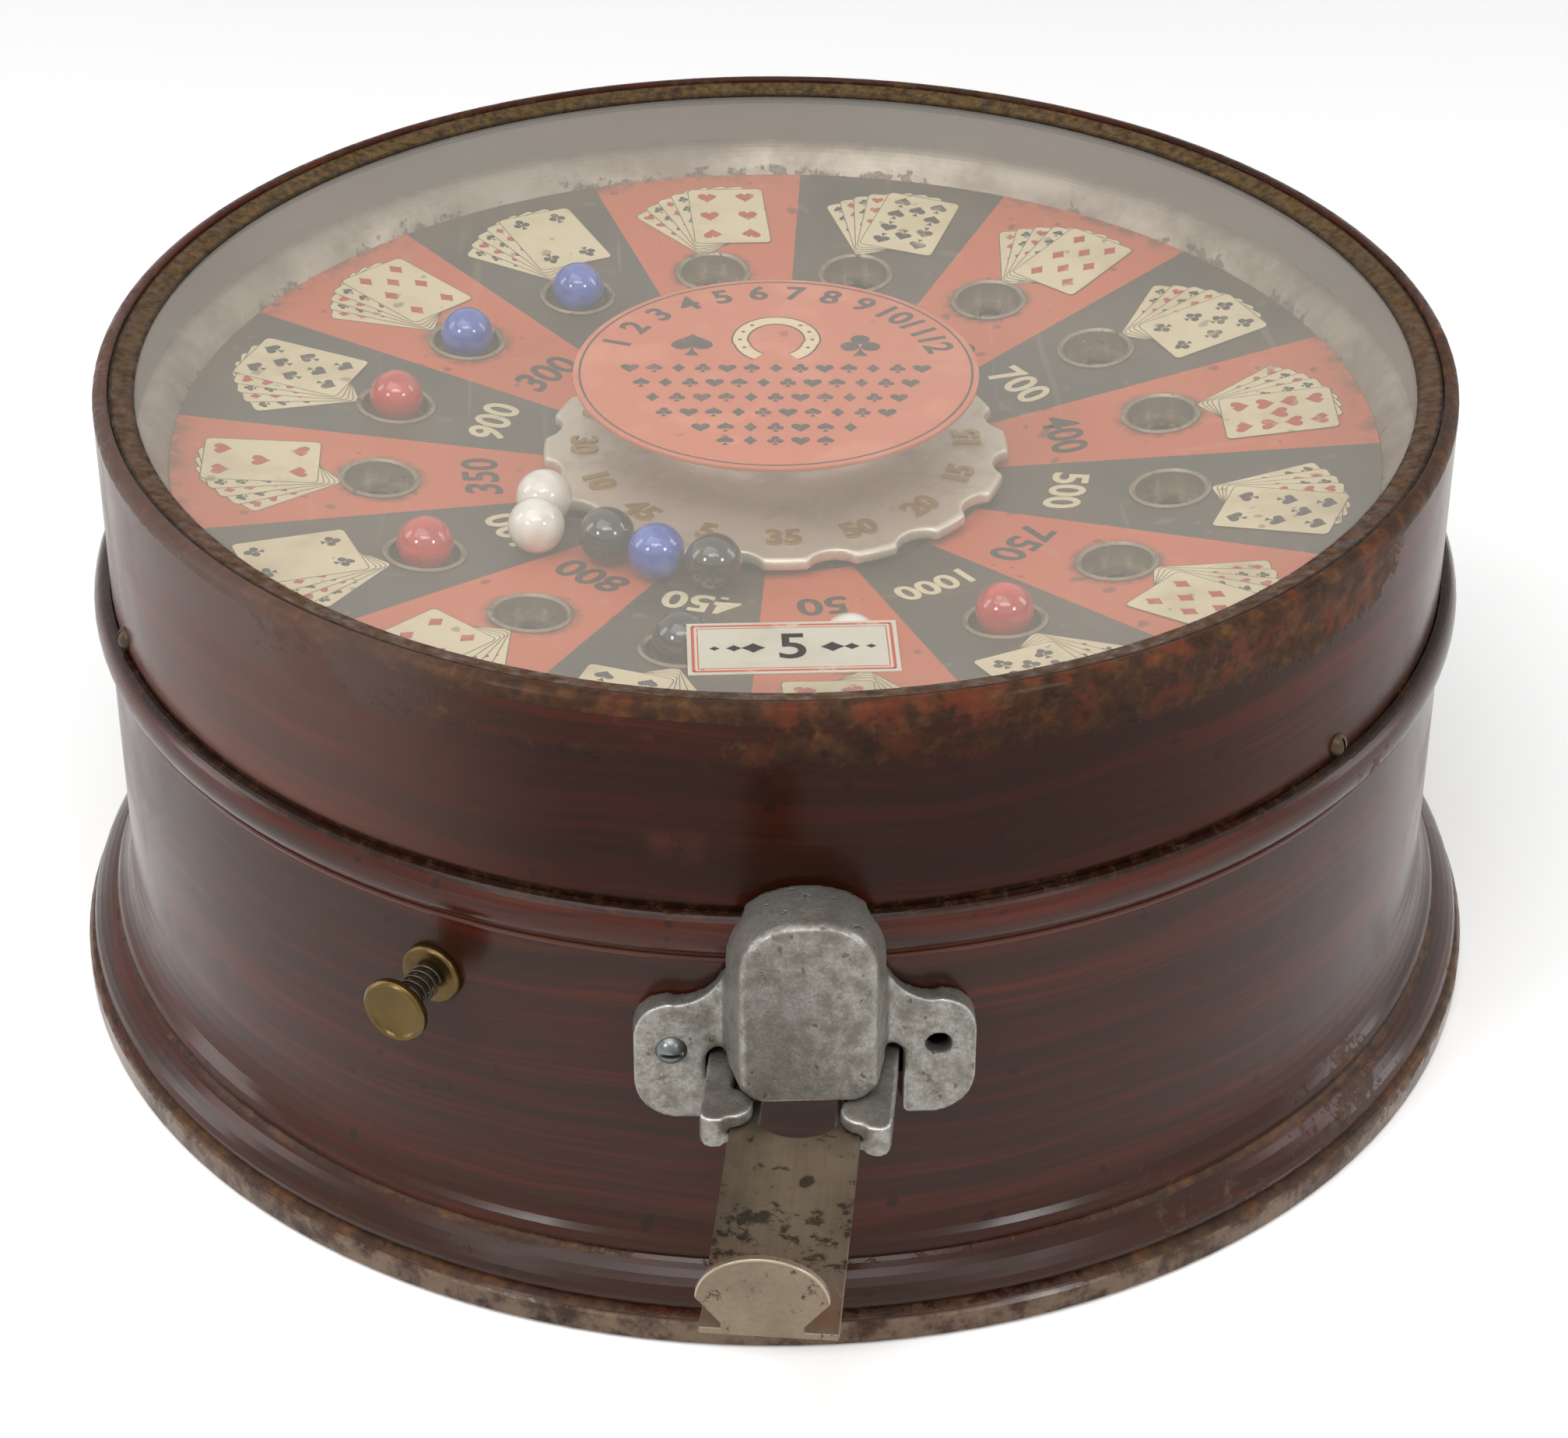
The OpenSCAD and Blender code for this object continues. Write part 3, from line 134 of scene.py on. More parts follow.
class Wire:
    """An output of a shader node; sums, products and quotients of it are Math nodes."""

    def __init__(self, node, output=0):
        self.tree, self.socket = node.id_data, node.outputs[output]

    def __add__(self, other):
        return calc("ADD", self, other)

    def __sub__(self, other):
        return calc("SUBTRACT", self, other)

    def __rsub__(self, other):
        return calc("SUBTRACT", other, self)

    def __mul__(self, other):
        return calc("MULTIPLY", self, other)

    def __truediv__(self, other):
        return calc("DIVIDE", self, other)


def join(value, socket):
    """Links a wire to a socket, or sets the socket to a plain value."""
    if isinstance(value, Wire):
        value.tree.links.new(value.socket, socket)
    else:
        socket.default_value = value


def wire(tree, kind, inputs=None, output=0, **settings):
    """Adds a node, sets its properties, fills its inputs and gives one of its outputs."""
    node = tree.nodes.new(kind)
    for key, value in settings.items():
        setattr(node, key, value)
    for key, value in (inputs or {}).items():
        join(value, node.inputs[key])
    return Wire(node, output)


def calc(operation, first, second=0.0, clamp=False):
    """One Math node; at least one of its values is a wire."""
    tree = (first if isinstance(first, Wire) else second).tree
    return wire(tree, "ShaderNodeMath", {0: first, 1: second}, operation=operation, use_clamp=clamp)


def space(operation, first, second=(0, 0, 0), output="Vector"):
    """One Vector Math node."""
    return wire(first.tree, "ShaderNodeVectorMath", {0: first, 1: second}, output, operation=operation)


def stretch(vector, scale):
    """A vector scaled along each axis."""
    return space("MULTIPLY", vector, scale)


def split(vector):
    """The x, y and z of a vector."""
    node = wire(vector.tree, "ShaderNodeSeparateXYZ", {0: vector}).socket.node
    return [Wire(node, axis) for axis in range(3)]


def noise(vector, scale, detail=4.0, roughness=0.55, distortion=0.0):
    """Noise value between 0 and 1."""
    return wire(vector.tree, "ShaderNodeTexNoise", {
        "Vector": vector, "Scale": scale, "Detail": detail, "Roughness": roughness, "Distortion": distortion})


def step(value, low, high):
    """A smooth step from 0 at low to 1 at high; low may be the larger."""
    return wire(value.tree, "ShaderNodeMapRange", {"Value": value, "From Min": low, "From Max": high},
                interpolation_type="SMOOTHSTEP")


def mix(factor, first, second):
    """Mixes two colours."""
    return wire(factor.tree, "ShaderNodeMix", {0: factor, 6: first, 7: second}, 2, data_type="RGBA")


def ramp(factor, stops):
    """A colour ramp from (place, colour) stops."""
    made = wire(factor.tree, "ShaderNodeValToRGB", {0: factor})
    elements = made.socket.node.color_ramp.elements
    while len(elements) < len(stops):
        elements.new(0.5)
    for element, (place, colour) in zip(elements, stops):
        element.position = place
        element.color = colour
    return made


def group(name, inputs, outputs):
    """A new shader node group with named sockets: wires of its inputs, and its output sockets."""
    tree = bpy.data.node_groups.new(name, "ShaderNodeTree")
    kinds = {"f": "NodeSocketFloat", "v": "NodeSocketVector", "c": "NodeSocketColor"}
    for key, kind, default in inputs:
        socket = tree.interface.new_socket(name=key, in_out="INPUT", socket_type=kinds[kind])
        if default is not None:
            socket.default_value = default
    for key, kind in outputs:
        tree.interface.new_socket(name=key, in_out="OUTPUT", socket_type=kinds[kind])
    given, out = tree.nodes.new("NodeGroupInput"), tree.nodes.new("NodeGroupOutput")
    return [Wire(given, key) for key, _, _ in inputs], out.inputs


def use(name, vector, **inputs):
    """An instance of a shared node group: its outputs by name."""
    node = vector.tree.nodes.new("ShaderNodeGroup")
    node.node_tree = bpy.data.node_groups[name]
    for key, value in {"Vector": vector, **inputs}.items():
        join(value, node.inputs[key])
    return {socket.name: Wire(node, socket.name) for socket in node.outputs}


def spots(vector, scale, amount):
    """Mask of the shared group of round spots."""
    return use("Spots", vector, Scale=scale, Amount=amount)["Mask"]


def from_axis(place):
    """Distance from the case axis."""
    return space("LENGTH", stretch(place, (1, 1, 0)), output="Value")


def window(place, angle, half, soft):
    """1 inside an angular window about the case axis, falling to 0 over a soft edge, in degrees."""
    flat = space("NORMALIZE", stretch(place, (1, 1, 0)))
    facing = space("DOT_PRODUCT", flat, polar(1, math.radians(angle), 0), "Value")
    return step(facing, math.cos(math.radians(half + soft)), math.cos(math.radians(half)))


def band(height, low, high, soft):
    """1 between two heights in millimetres, falling to 0 over a soft edge."""
    up = step(height, (low - soft) * MM, low * MM)
    return up * step(height, (high + soft) * MM, high * MM)


def zone(place, height, low, high, soft, angle, half, fade):
    """1 in a band of heights and an angular window."""
    return band(height, low, high, soft) * window(place, angle, half, fade)


def wedge_number(angle, first):
    """Running number of the wedge at an angle, counted from the middle of a first one."""
    return (angle + (math.tau - first + WEDGE / 2)) / WEDGE


def round_pockets(place):
    """Radius and angle about the case axis, and the distance to the nearest pocket's middle."""
    x, y, _ = split(place)
    radius, angle = from_axis(place), calc("ARCTAN2", y, x)
    across = (calc("FRACT", wedge_number(angle, FIRST_WEDGE)) - 0.5) * WEDGE * radius
    apart = radius - POCKET_CIRCLE
    return radius, angle, calc("SQRT", across * across + apart * apart)


class Finish:
    """A material in the making: its shader, the object coordinates and the tone laid so far."""

    def __init__(self, name, tone=None, **values):
        self.made = bpy.data.materials.new(name)
        self.made.use_nodes = True
        self.tree = self.made.node_tree
        self.shader = self.tree.nodes["Principled BSDF"]
        self.place = wire(self.tree, "ShaderNodeTexCoord", output="Object")
        self.tone = tone
        self.set(**values)

    def set(self, **values):
        """Sets the shader's sockets to values or wires; their names have underscores for spaces."""
        for key, value in values.items():
            join(value, self.shader.inputs[key.replace("_", " ")])

    def lay(self, mask, colour, share=1.0):
        """Lays a share of a colour over the tone where a mask is."""
        self.tone = mix(mask if share == 1.0 else mask * share, self.tone, colour)

    def done(self, gloss=None, height=None, lift=0.2 * MM, strength=1.0):
        """Links the tone, the roughness and the height of the bumps, and gives the material."""
        self.set(Base_Color=self.tone)
        if gloss is not None:
            self.set(Roughness=gloss)
        if height is not None:
            inputs = {"Height": height, "Distance": lift, "Strength": strength}
            self.set(Normal=wire(self.tree, "ShaderNodeBump", inputs))
        return self.made


# Shared effects

def make_effects():
    """Makes the node groups that several materials share."""
    (vector, dark, middle, light), out = group("Wood grain", (
        ("Vector", "v", None), ("Dark", "c", rgb(40, 20, 18)), ("Middle", "c", rgb(70, 32, 27)),
        ("Light", "c", rgb(105, 48, 38))), (("Color", "c"), ("Height", "f")))
    bend = noise(vector, 9.0, 2.0) * 0.02
    drifted = space("ADD", vector, wire(vector.tree, "ShaderNodeCombineXYZ", {2: bend}))
    broad = noise(stretch(drifted, (3.5, 3.5, 120)), 1.0, 4.0, 0.55)
    fine = noise(stretch(drifted, (14, 14, 700)), 1.0, 4.0, 0.6)
    figure = noise(stretch(drifted, (2.2, 2.2, 30)), 1.0, 3.0)
    streak = broad * 0.5 + (fine * 0.3 + figure * 0.2)
    base = mix(step(streak, 0.36, 0.56), dark, middle)
    join(mix(step(streak, 0.47, 0.66), base, light), out["Color"])
    join(streak, out["Height"])

    (vector, amount, scale), out = group("Rust", (
        ("Vector", "v", None), ("Amount", "f", 0.5), ("Scale", "f", 260.0)),
        (("Mask", "f"), ("Color", "c"), ("Height", "f")))
    grain = noise(vector, scale, 6.0, 0.7)
    cloud = noise(vector, scale * 0.17, 4.0, 0.6)
    edge = 0.86 - amount * 0.62
    mask = step(grain * 0.6 + cloud * 0.4, edge, edge + 0.07)
    tone = noise(vector, scale * 0.6, 5.0, 0.65)
    join(mask, out["Mask"])
    join(ramp(tone, ((0.3, rgb(38, 26, 18)), (0.5, rgb(62, 41, 27)), (0.62, rgb(84, 55, 32)),
                     (0.75, rgb(106, 68, 40)))), out["Color"])
    join(mask * grain, out["Height"])

    (vector, scale, amount), out = group("Spots", (
        ("Vector", "v", None), ("Scale", "f", 90.0), ("Amount", "f", 0.5)), (("Mask", "f"),))
    warp = noise(vector, 140.0, 3.0)
    shift = stretch(wire(vector.tree, "ShaderNodeCombineXYZ", {0: warp, 1: warp, 2: warp}), (0.006,) * 3)
    away = wire(vector.tree, "ShaderNodeTexVoronoi", {
        "Vector": space("ADD", vector, shift), "Scale": scale, "Randomness": 1.0}, "Distance")
    chance, width, _ = split(Wire(away.socket.node, "Color"))
    size = width * 0.34
    join(step(away, size, size * 0.6) * calc("LESS_THAN", chance, amount), out["Mask"])

    (vector, scale), out = group("Cast skin", (("Vector", "v", None), ("Scale", "f", 700.0)),
                                 (("Height", "f"), ("Pits", "f"), ("Stain", "f")))
    coarse = noise(vector, scale * 0.22, 4.0, 0.6)
    grit = noise(vector, scale, 5.0, 0.65)
    pits = step(noise(vector, scale * 0.55, 3.0, 0.5), 0.64, 0.72)
    join(coarse * 0.8 + grit * 0.3 - pits * 0.5, out["Height"])
    join(pits, out["Pits"])
    join(step(noise(vector, scale * 0.09, 5.0, 0.65), 0.48, 0.72), out["Stain"])

    (vector, scale), out = group("Scratches", (("Vector", "v", None), ("Scale", "f", 60.0)), (("Mask", "f"),))
    first, second, third = (step(noise(stretch(vector, along), scale, 2.0, 0.5, 0.4), 0.66, 0.74)
                            for along in ((12, 1, 4), (1, 14, 5), (7, -7, 4)))
    join(calc("MAXIMUM", calc("MAXIMUM", first, second), third), out["Mask"])


# Geometry helpers

def piece(name, points, faces, body, finish, stands_for=(), smooth=True):
    """A mesh object in the shared frame that rides on a body."""
    mesh = bpy.data.meshes.new(name)
    mesh.from_pydata([tuple(p) for p in points], [], faces)
    mesh.validate()
    if smooth:
        mesh.shade_smooth()
    mesh.materials.append(finish)
    made = bpy.data.objects.new(name, mesh)
    bpy.context.scene.collection.objects.link(made)
    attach(made, body)
    if stands_for:
        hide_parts(*stands_for)
    return made


def dress(finish, *names):
    """Gives CAD nodes a material."""
    for name in names:
        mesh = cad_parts[name].data
        mesh.materials.clear()
        mesh.materials.append(finish)


def soften(name, width):
    """Rounds the sharp edges of a CAD node with modifiers, and leaves its mesh as it is."""
    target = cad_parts[name]
    weld = target.modifiers.new("weld", "WELD")
    weld.merge_threshold = 0.01 * MM
    bevel = target.modifiers.new("bevel", "BEVEL")
    bevel.width = width
    bevel.segments = 2
    bevel.limit_method = "ANGLE"
    bevel.angle_limit = math.radians(35)
    bevel.harden_normals = True


def relax(shape, rounds):
    """Smooths a mesh all over."""
    for _ in range(rounds):
        bmesh.ops.smooth_vert(shape, verts=shape.verts, factor=0.5,
                              use_axis_x=True, use_axis_y=True, use_axis_z=True)


def fill_corners(shape, rounds):
    """Rounds the inner corners of a mesh, and leaves its outer edges as they are."""
    shape.verts.ensure_lookup_table()
    ends = np.array([[v.index for v in e.verts] for e in shape.edges])
    a, b = np.concatenate((ends[:, 0], ends[:, 1])), np.concatenate((ends[:, 1], ends[:, 0]))
    count = len(shape.verts)
    links = np.bincount(a, minlength=count)
    for _ in range(rounds):
        shape.normal_update()
        at = np.array([v.co for v in shape.verts])
        normals = np.array([v.normal for v in shape.verts])
        mean = np.stack([np.bincount(a, at[b, i], count) for i in range(3)], 1) / links[:, None]
        lift = np.clip(((mean - at) * normals).sum(1), 0, None)
        for v, move in zip(shape.verts, 0.8 * lift[:, None] * normals):
            v.co += Vector(move)


def casting(node, name, body, finish, voxel, rounds, fill=0):
    """A copy of a CAD node with the soft edges of a casting, in the node's stead; gives its points.

    The attribute "edge" holds how far each point stands out, for painted highlights on the edges that stand
    out, and darker hollows, in the materials.
    """
    trial = bpy.data.objects.new("trial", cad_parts[node].data.copy())
    bpy.context.scene.collection.objects.link(trial)
    remesh = trial.modifiers.new("remesh", "REMESH")
    remesh.mode = "VOXEL"
    remesh.voxel_size = voxel
    ready = trial.evaluated_get(bpy.context.evaluated_depsgraph_get())
    shape = bmesh.new()
    shape.from_mesh(ready.to_mesh())
    ready.to_mesh_clear()
    bpy.data.objects.remove(trial)
    relax(shape, rounds)
    fill_corners(shape, fill)
    shape.normal_update()
    points = [v.co.copy() for v in shape.verts]
    normals = [v.normal.copy() for v in shape.verts]
    faces = [[v.index for v in f.verts] for f in shape.faces]
    relax(shape, 10)
    marks = [(p - v.co).dot(n) / voxel for p, v, n in zip(points, shape.verts, normals)]
    shape.free()
    made = piece(name, points, faces, body, finish, (node,))
    made.data.attributes.new("edge", "FLOAT", "POINT").data.foreach_set("value", marks)
    return points


def tube(rings, sides):
    """Points and faces of a round bar with closed ends, from its rings.

    A ring is a middle, a radius and two directions across the bar.
    """
    points, faces = [], []
    for middle, radius, first, second in rings:
        for j in range(sides):
            b = math.tau * j / sides
            points.append(middle + radius * (math.cos(b) * first + math.sin(b) * second))
    last = (len(rings) - 1) * sides
    for i in range(0, last, sides):
        for j in range(sides):
            k = (j + 1) % sides
            faces.append((i + j, i + k, i + sides + k, i + sides + j))
    return points, faces + [tuple(range(sides))[::-1], tuple(range(last, last + sides))]


class Art:
    """Flat shapes laid on a surface by a place function, gathered into one mesh."""

    def __init__(self, place=None):
        self.place, self.points, self.faces = place, [], []

    def patch(self, outline, rings=1):
        """A filled shape whose outline is seen whole from its middle."""
        count, start = len(outline), len(self.points)
        mid = Vector((sum(p[0] for p in outline) / count, sum(p[1] for p in outline) / count))
        self.points.append(self.place(*mid))
        for ring in range(1, rings + 1):
            self.points += [self.place(*mid.lerp(Vector(p[:2]), ring / rings)) for p in outline]
        for i in range(count):
            j = (i + 1) % count
            self.faces.append((start, start + 1 + i, start + 1 + j))
            for ring in range(1, rings):
                low, high = start + 1 + (ring - 1) * count, start + 1 + ring * count
                self.faces.append((low + i, high + i, high + j, low + j))

    def strip(self, path, width):
        """A band of one width along a path."""
        start, line = len(self.points), [Vector(p) for p in path]
        for i, p in enumerate(line):
            along = (line[min(i + 1, len(line) - 1)] - line[max(i - 1, 0)]).normalized()
            side = Vector((-along.y, along.x)) * width / 2
            self.points += [self.place(*(p + side)), self.place(*(p - side))]
        for k in range(start, start + 2 * len(line) - 2, 2):
            self.faces.append((k, k + 1, k + 3, k + 2))

    def figures(self, text, size, weight, at=(0.0, 0.0), turn=0.0):
        """Plain figures centred on a point."""
        curve = bpy.data.curves.new("figures", "FONT")
        curve.body, curve.size, curve.offset = text, size, weight
        curve.align_x, curve.align_y = "CENTER", "CENTER"
        curve.resolution_u = 4
        trial = bpy.data.objects.new("figures", curve)
        bpy.context.scene.collection.objects.link(trial)
        ready = trial.evaluated_get(bpy.context.evaluated_depsgraph_get())
        mesh = ready.to_mesh()
        start, spin = len(self.points), Matrix.Rotation(turn, 2)
        self.points += [self.place(*(Vector(at) + spin @ v.co.xy)) for v in mesh.vertices]
        self.faces += [tuple(start + k for k in f.vertices) for f in mesh.polygons]
        ready.to_mesh_clear()
        bpy.data.objects.remove(trial)
        bpy.data.curves.remove(curve)

    def suit(self, kind, size, at, turn=0.0):
        """A card suit about a point."""
        for outline in suit_outlines(kind, size):
            self.patch(moved(outline, at, turn))

    def finish(self, name, body, look, slot):
        """The gathered shapes as one piece."""
        piece(name, self.points, self.faces, body, look)


def moved(outline, at, turn=0.0):
    """An outline turned and moved."""
    spin = Matrix.Rotation(turn, 2)
    return [Vector(at) + spin @ Vector(p) for p in outline]


def circle(radius, count, at=(0.0, 0.0)):
    """Points round a circle."""
    turns = [math.tau * i / count for i in range(count)]
    return [(at[0] + radius * math.cos(t), at[1] + radius * math.sin(t)) for t in turns]


def suit_outlines(kind, size):
    """Outlines of a card suit of one height, about its middle."""
    def scaled(points):
        return [(x * size, y * size) for x, y in points]

    if kind == "diamond":
        return [scaled(((0, 0.5), (-0.2, 0.2), (-0.37, 0), (-0.2, -0.2),
                        (0, -0.5), (0.2, -0.2), (0.37, 0), (0.2, 0.2)))]
    turns = [math.tau * i / 40 for i in range(40)]
    heart = [(0.5 * math.sin(t) ** 3,
              (13 * math.cos(t) - 5 * math.cos(2 * t) - 2 * math.cos(3 * t) - math.cos(4 * t)) / 31)
             for t in turns]
    if kind == "heart":
        return [scaled(heart)]
    stem = scaled(((0, -0.05), (-0.05, -0.3), (-0.17, -0.5), (0.17, -0.5), (0.05, -0.3)))
    if kind == "spade":
        return [scaled([(x * 0.92, -y * 0.8 + 0.1) for x, y in heart]), stem]
    return [scaled(circle(0.21, 20, at)) for at in ((0, 0.27), (-0.23, -0.06), (0.23, -0.06))] + [stem]


def pips(value):
    """Places of the pips on a card of 4 to 10, as shares of its width and height."""
    rows = (0.34, -0.34) if value < 6 else (0.34, 0, -0.34) if value < 9 else (0.34, 0.113, -0.113, -0.34)
    extra = {5: [0], 7: [0.17], 8: [0.17, -0.17], 9: [0], 10: [0.225, -0.225]}.get(value, [])
    return [(x, y) for x in (-0.25, 0.25) for y in rows] + [(0, y) for y in extra]


def card(width, height, corner):
    """A rounded rectangle."""
    points = []
    for cx, cy, first in ((1, 1, 0), (-1, 1, 90), (-1, -1, 180), (1, -1, 270)):
        for i in range(4):
            a = math.radians(first + 30 * i)
            points.append((cx * (width / 2 - corner) + corner * math.cos(a),
                           cy * (height / 2 - corner) + corner * math.sin(a)))
    return points


def on_field(ring, wedge, lift):
    """A place function that bends flat art round the case axis onto a wedge of the field."""
    middle = FIRST_WEDGE + PRINT_TURN + wedge * WEDGE

    def place(x, y):
        radius = ring + y
        return polar(radius, middle - x / radius, field_height(radius) + lift)
    return place


# Finishes

def enamel(name, look, edges, patches):
    """Wood-grained enamel on tin: edges are (low, high, soft, amount), patches add an angle window.

    Gives the finish, to be laid over and done, and its height.
    """
    coat = Finish(name, Coat_Weight=0.06, Coat_Roughness=0.1, Specular_IOR_Level=0.2)
    place, height = coat.place, split(coat.place)[2]
    wood = use("Wood grain", place, Dark=(*look.dark, 1), Middle=(*look.middle, 1), Light=(*look.light, 1))
    amount = noise(place, 14.0, 3.0) * 0.16
    for low, high, soft, share in edges:
        amount += band(height, low, high, soft) * share
    for low, high, soft, share, angle, half, fade in patches:
        amount += zone(place, height, low, high, soft, angle, half, fade) * share
    rust = use("Rust", place, Amount=amount * look.wear, Scale=300.0)
    coat.tone = wood["Color"]
    coat.lay(rust["Mask"], rust["Color"])
    coat.lay(spots(place, 170.0, 0.2), rgb(26, 18, 15), 0.6)
    smear = step(noise(place, 26.0, 5.0, 0.6), 0.4, 0.7)
    gloss = calc("ADD", smear * 0.12 + 0.2, rust["Mask"] * 0.38, clamp=True)
    dents = noise(place, 22.0, 2.0)
    coat.done(gloss, wood["Height"] * 0.05 + (rust["Height"] * 0.5 + dents * 0.7), 0.5 * MM)
    return coat, height


def seam_dirt(coat, height):
    """Lays dark dirt with golden-brown crumbs in the seam between the case and the cover."""
    crumbs = step(noise(coat.place, 300.0, 6.0, 0.75), 0.46, 0.72)
    coat.lay(band(height, 117.1, 118.6, 1.0), mix(crumbs, rgb(22, 12, 7), rgb(66, 42, 22)), 0.85)


def metal(name, dark, light, roughness, scale=300.0, rusty=0.2, metallic=0.85):
    """Plain sheet or turned metal with tarnish, rust specks and a worked surface."""
    finish = Finish(name, dark, Metallic=metallic)
    cast = use("Cast skin", finish.place, Scale=scale)
    rust = use("Rust", finish.place, Amount=rusty, Scale=scale)
    finish.lay(noise(finish.place, scale * 0.12, 5.0, 0.65), light)
    finish.lay(cast["Stain"], dark, 0.5)
    finish.lay(rust["Mask"], rust["Color"])
    gloss = calc("ADD", cast["Stain"] * 0.18 + roughness, rust["Mask"] * 0.3, clamp=True)
    return finish.done(gloss, cast["Height"] * 0.3)


def paper(name, tone, dirt, fleck):
    """Printed paper or card with age marks."""
    finish = Finish(name, tone, Roughness=0.6, Specular_IOR_Level=0.35)
    finish.lay(step(noise(finish.place, 45.0, 5.0, 0.65), 0.42, 0.78), dirt, 0.55)
    finish.lay(spots(finish.place, 190.0, fleck), rgb(70, 58, 44), 0.5)
    return finish.done(height=noise(finish.place, 900.0, 3.0), lift=0.04 * MM)


def ink(name, tone, worn, share=0.3):
    """Printing ink that has rubbed off in places."""
    finish = Finish(name, tone, Roughness=0.55)
    finish.lay(step(noise(finish.place, 160.0, 5.0, 0.7), 0.52, 0.72), worn, share)
    return finish.done()


def marble_glass(name, deep, pale):
    """Opaque glass of a marble, with faint clouds and specks."""
    finish = Finish(name, deep, Roughness=0.09, Coat_Weight=0.6, Coat_Roughness=0.04)
    cloud = noise(stretch(finish.place, (1, 1, 1.8)), 130.0, 3.0, 0.5, 0.8)
    finish.lay(step(cloud, 0.35, 0.7), pale)
    finish.lay(spots(finish.place, 420.0, 0.12), rgb(120, 105, 90), 0.35)
    return finish.done(height=noise(finish.place, 160.0, 2.0), lift=0.01 * MM)


# Settings

class CaseLook(bpy.types.PropertyGroup):
    """Colours and wear of the enamelled case."""
    dark: bpy.props.FloatVectorProperty(
        name="Dark grain", description="Darkest streaks of the painted grain",
        subtype="COLOR", default=rgb(43, 25, 15)[:3])
    middle: bpy.props.FloatVectorProperty(
        name="Middle grain", description="Main colour of the painted grain",
        subtype="COLOR", default=rgb(55, 25, 14)[:3])
    light: bpy.props.FloatVectorProperty(
        name="Light grain", description="Lightest streaks of the painted grain",
        subtype="COLOR", default=rgb(80, 31, 20)[:3])
    wear: bpy.props.FloatProperty(
        name="Wear", description="Amount of rust and rubbed paint", default=1.0, min=0.0, max=2.0)


class FieldLook(bpy.types.PropertyGroup):
    """Colours and sizes of the printed field."""
    red: bpy.props.FloatVectorProperty(
        name="Red wedges", description="Ink of every second wedge",
        subtype="COLOR", default=rgb(199, 95, 59)[:3])
    black: bpy.props.FloatVectorProperty(
        name="Dark wedges", description="Ink of the other wedges",
        subtype="COLOR", default=rgb(60, 61, 52)[:3])
    cream: bpy.props.FloatVectorProperty(
        name="Cream", description="Cards and light figures",
        subtype="COLOR", default=rgb(220, 206, 170)[:3])
    card_width: bpy.props.FloatProperty(
        name="Card width", description="Width of one printed card", default=22 * MM, unit="LENGTH")
    card_height: bpy.props.FloatProperty(
        name="Card height", description="Height of one printed card", default=30 * MM, unit="LENGTH")
    number_size: bpy.props.FloatProperty(
        name="Number size", description="Height of the field's numbers", default=13 * MM, unit="LENGTH")


class PlungerLook(bpy.types.PropertyGroup):
    """Form of the plunger's return spring."""
    curls: bpy.props.IntProperty(
        name="Curls", description="Number of turns of the spring", default=5, min=3, max=8)
    coil: bpy.props.FloatProperty(
        name="Coil radius", description="Radius of the wire's middle", default=3.7 * MM, unit="LENGTH")
    wire: bpy.props.FloatProperty(
        name="Wire radius", description="Radius of the wire", default=0.45 * MM, unit="LENGTH")


class StageLook(bpy.types.PropertyGroup):
    """Floor, light and camera."""
    key: bpy.props.FloatProperty(
        name="Key light", description="Power of the large lamp above", default=10.0, unit="POWER")
    strip: bpy.props.FloatProperty(
        name="Strip light", description="Power of the long lamp above the camera", default=4.5, unit="POWER")
    front: bpy.props.FloatProperty(
        name="Front lights", description="Power of each small lamp beside the camera",
        default=3.2, unit="POWER")
    side: bpy.props.FloatProperty(
        name="Side lights", description="Power of each tall side lamp", default=5.0, unit="POWER")
    sky: bpy.props.FloatProperty(
        name="Surrounding light", description="Strength of the even studio light", default=0.36)
    glow: bpy.props.FloatProperty(
        name="Floor lift", description="Lifts the floor's white where it is seen", default=0.13)
    lens: bpy.props.FloatProperty(
        name="Lens", description="Focal length of the camera in millimetres", default=88.72)


# Operators

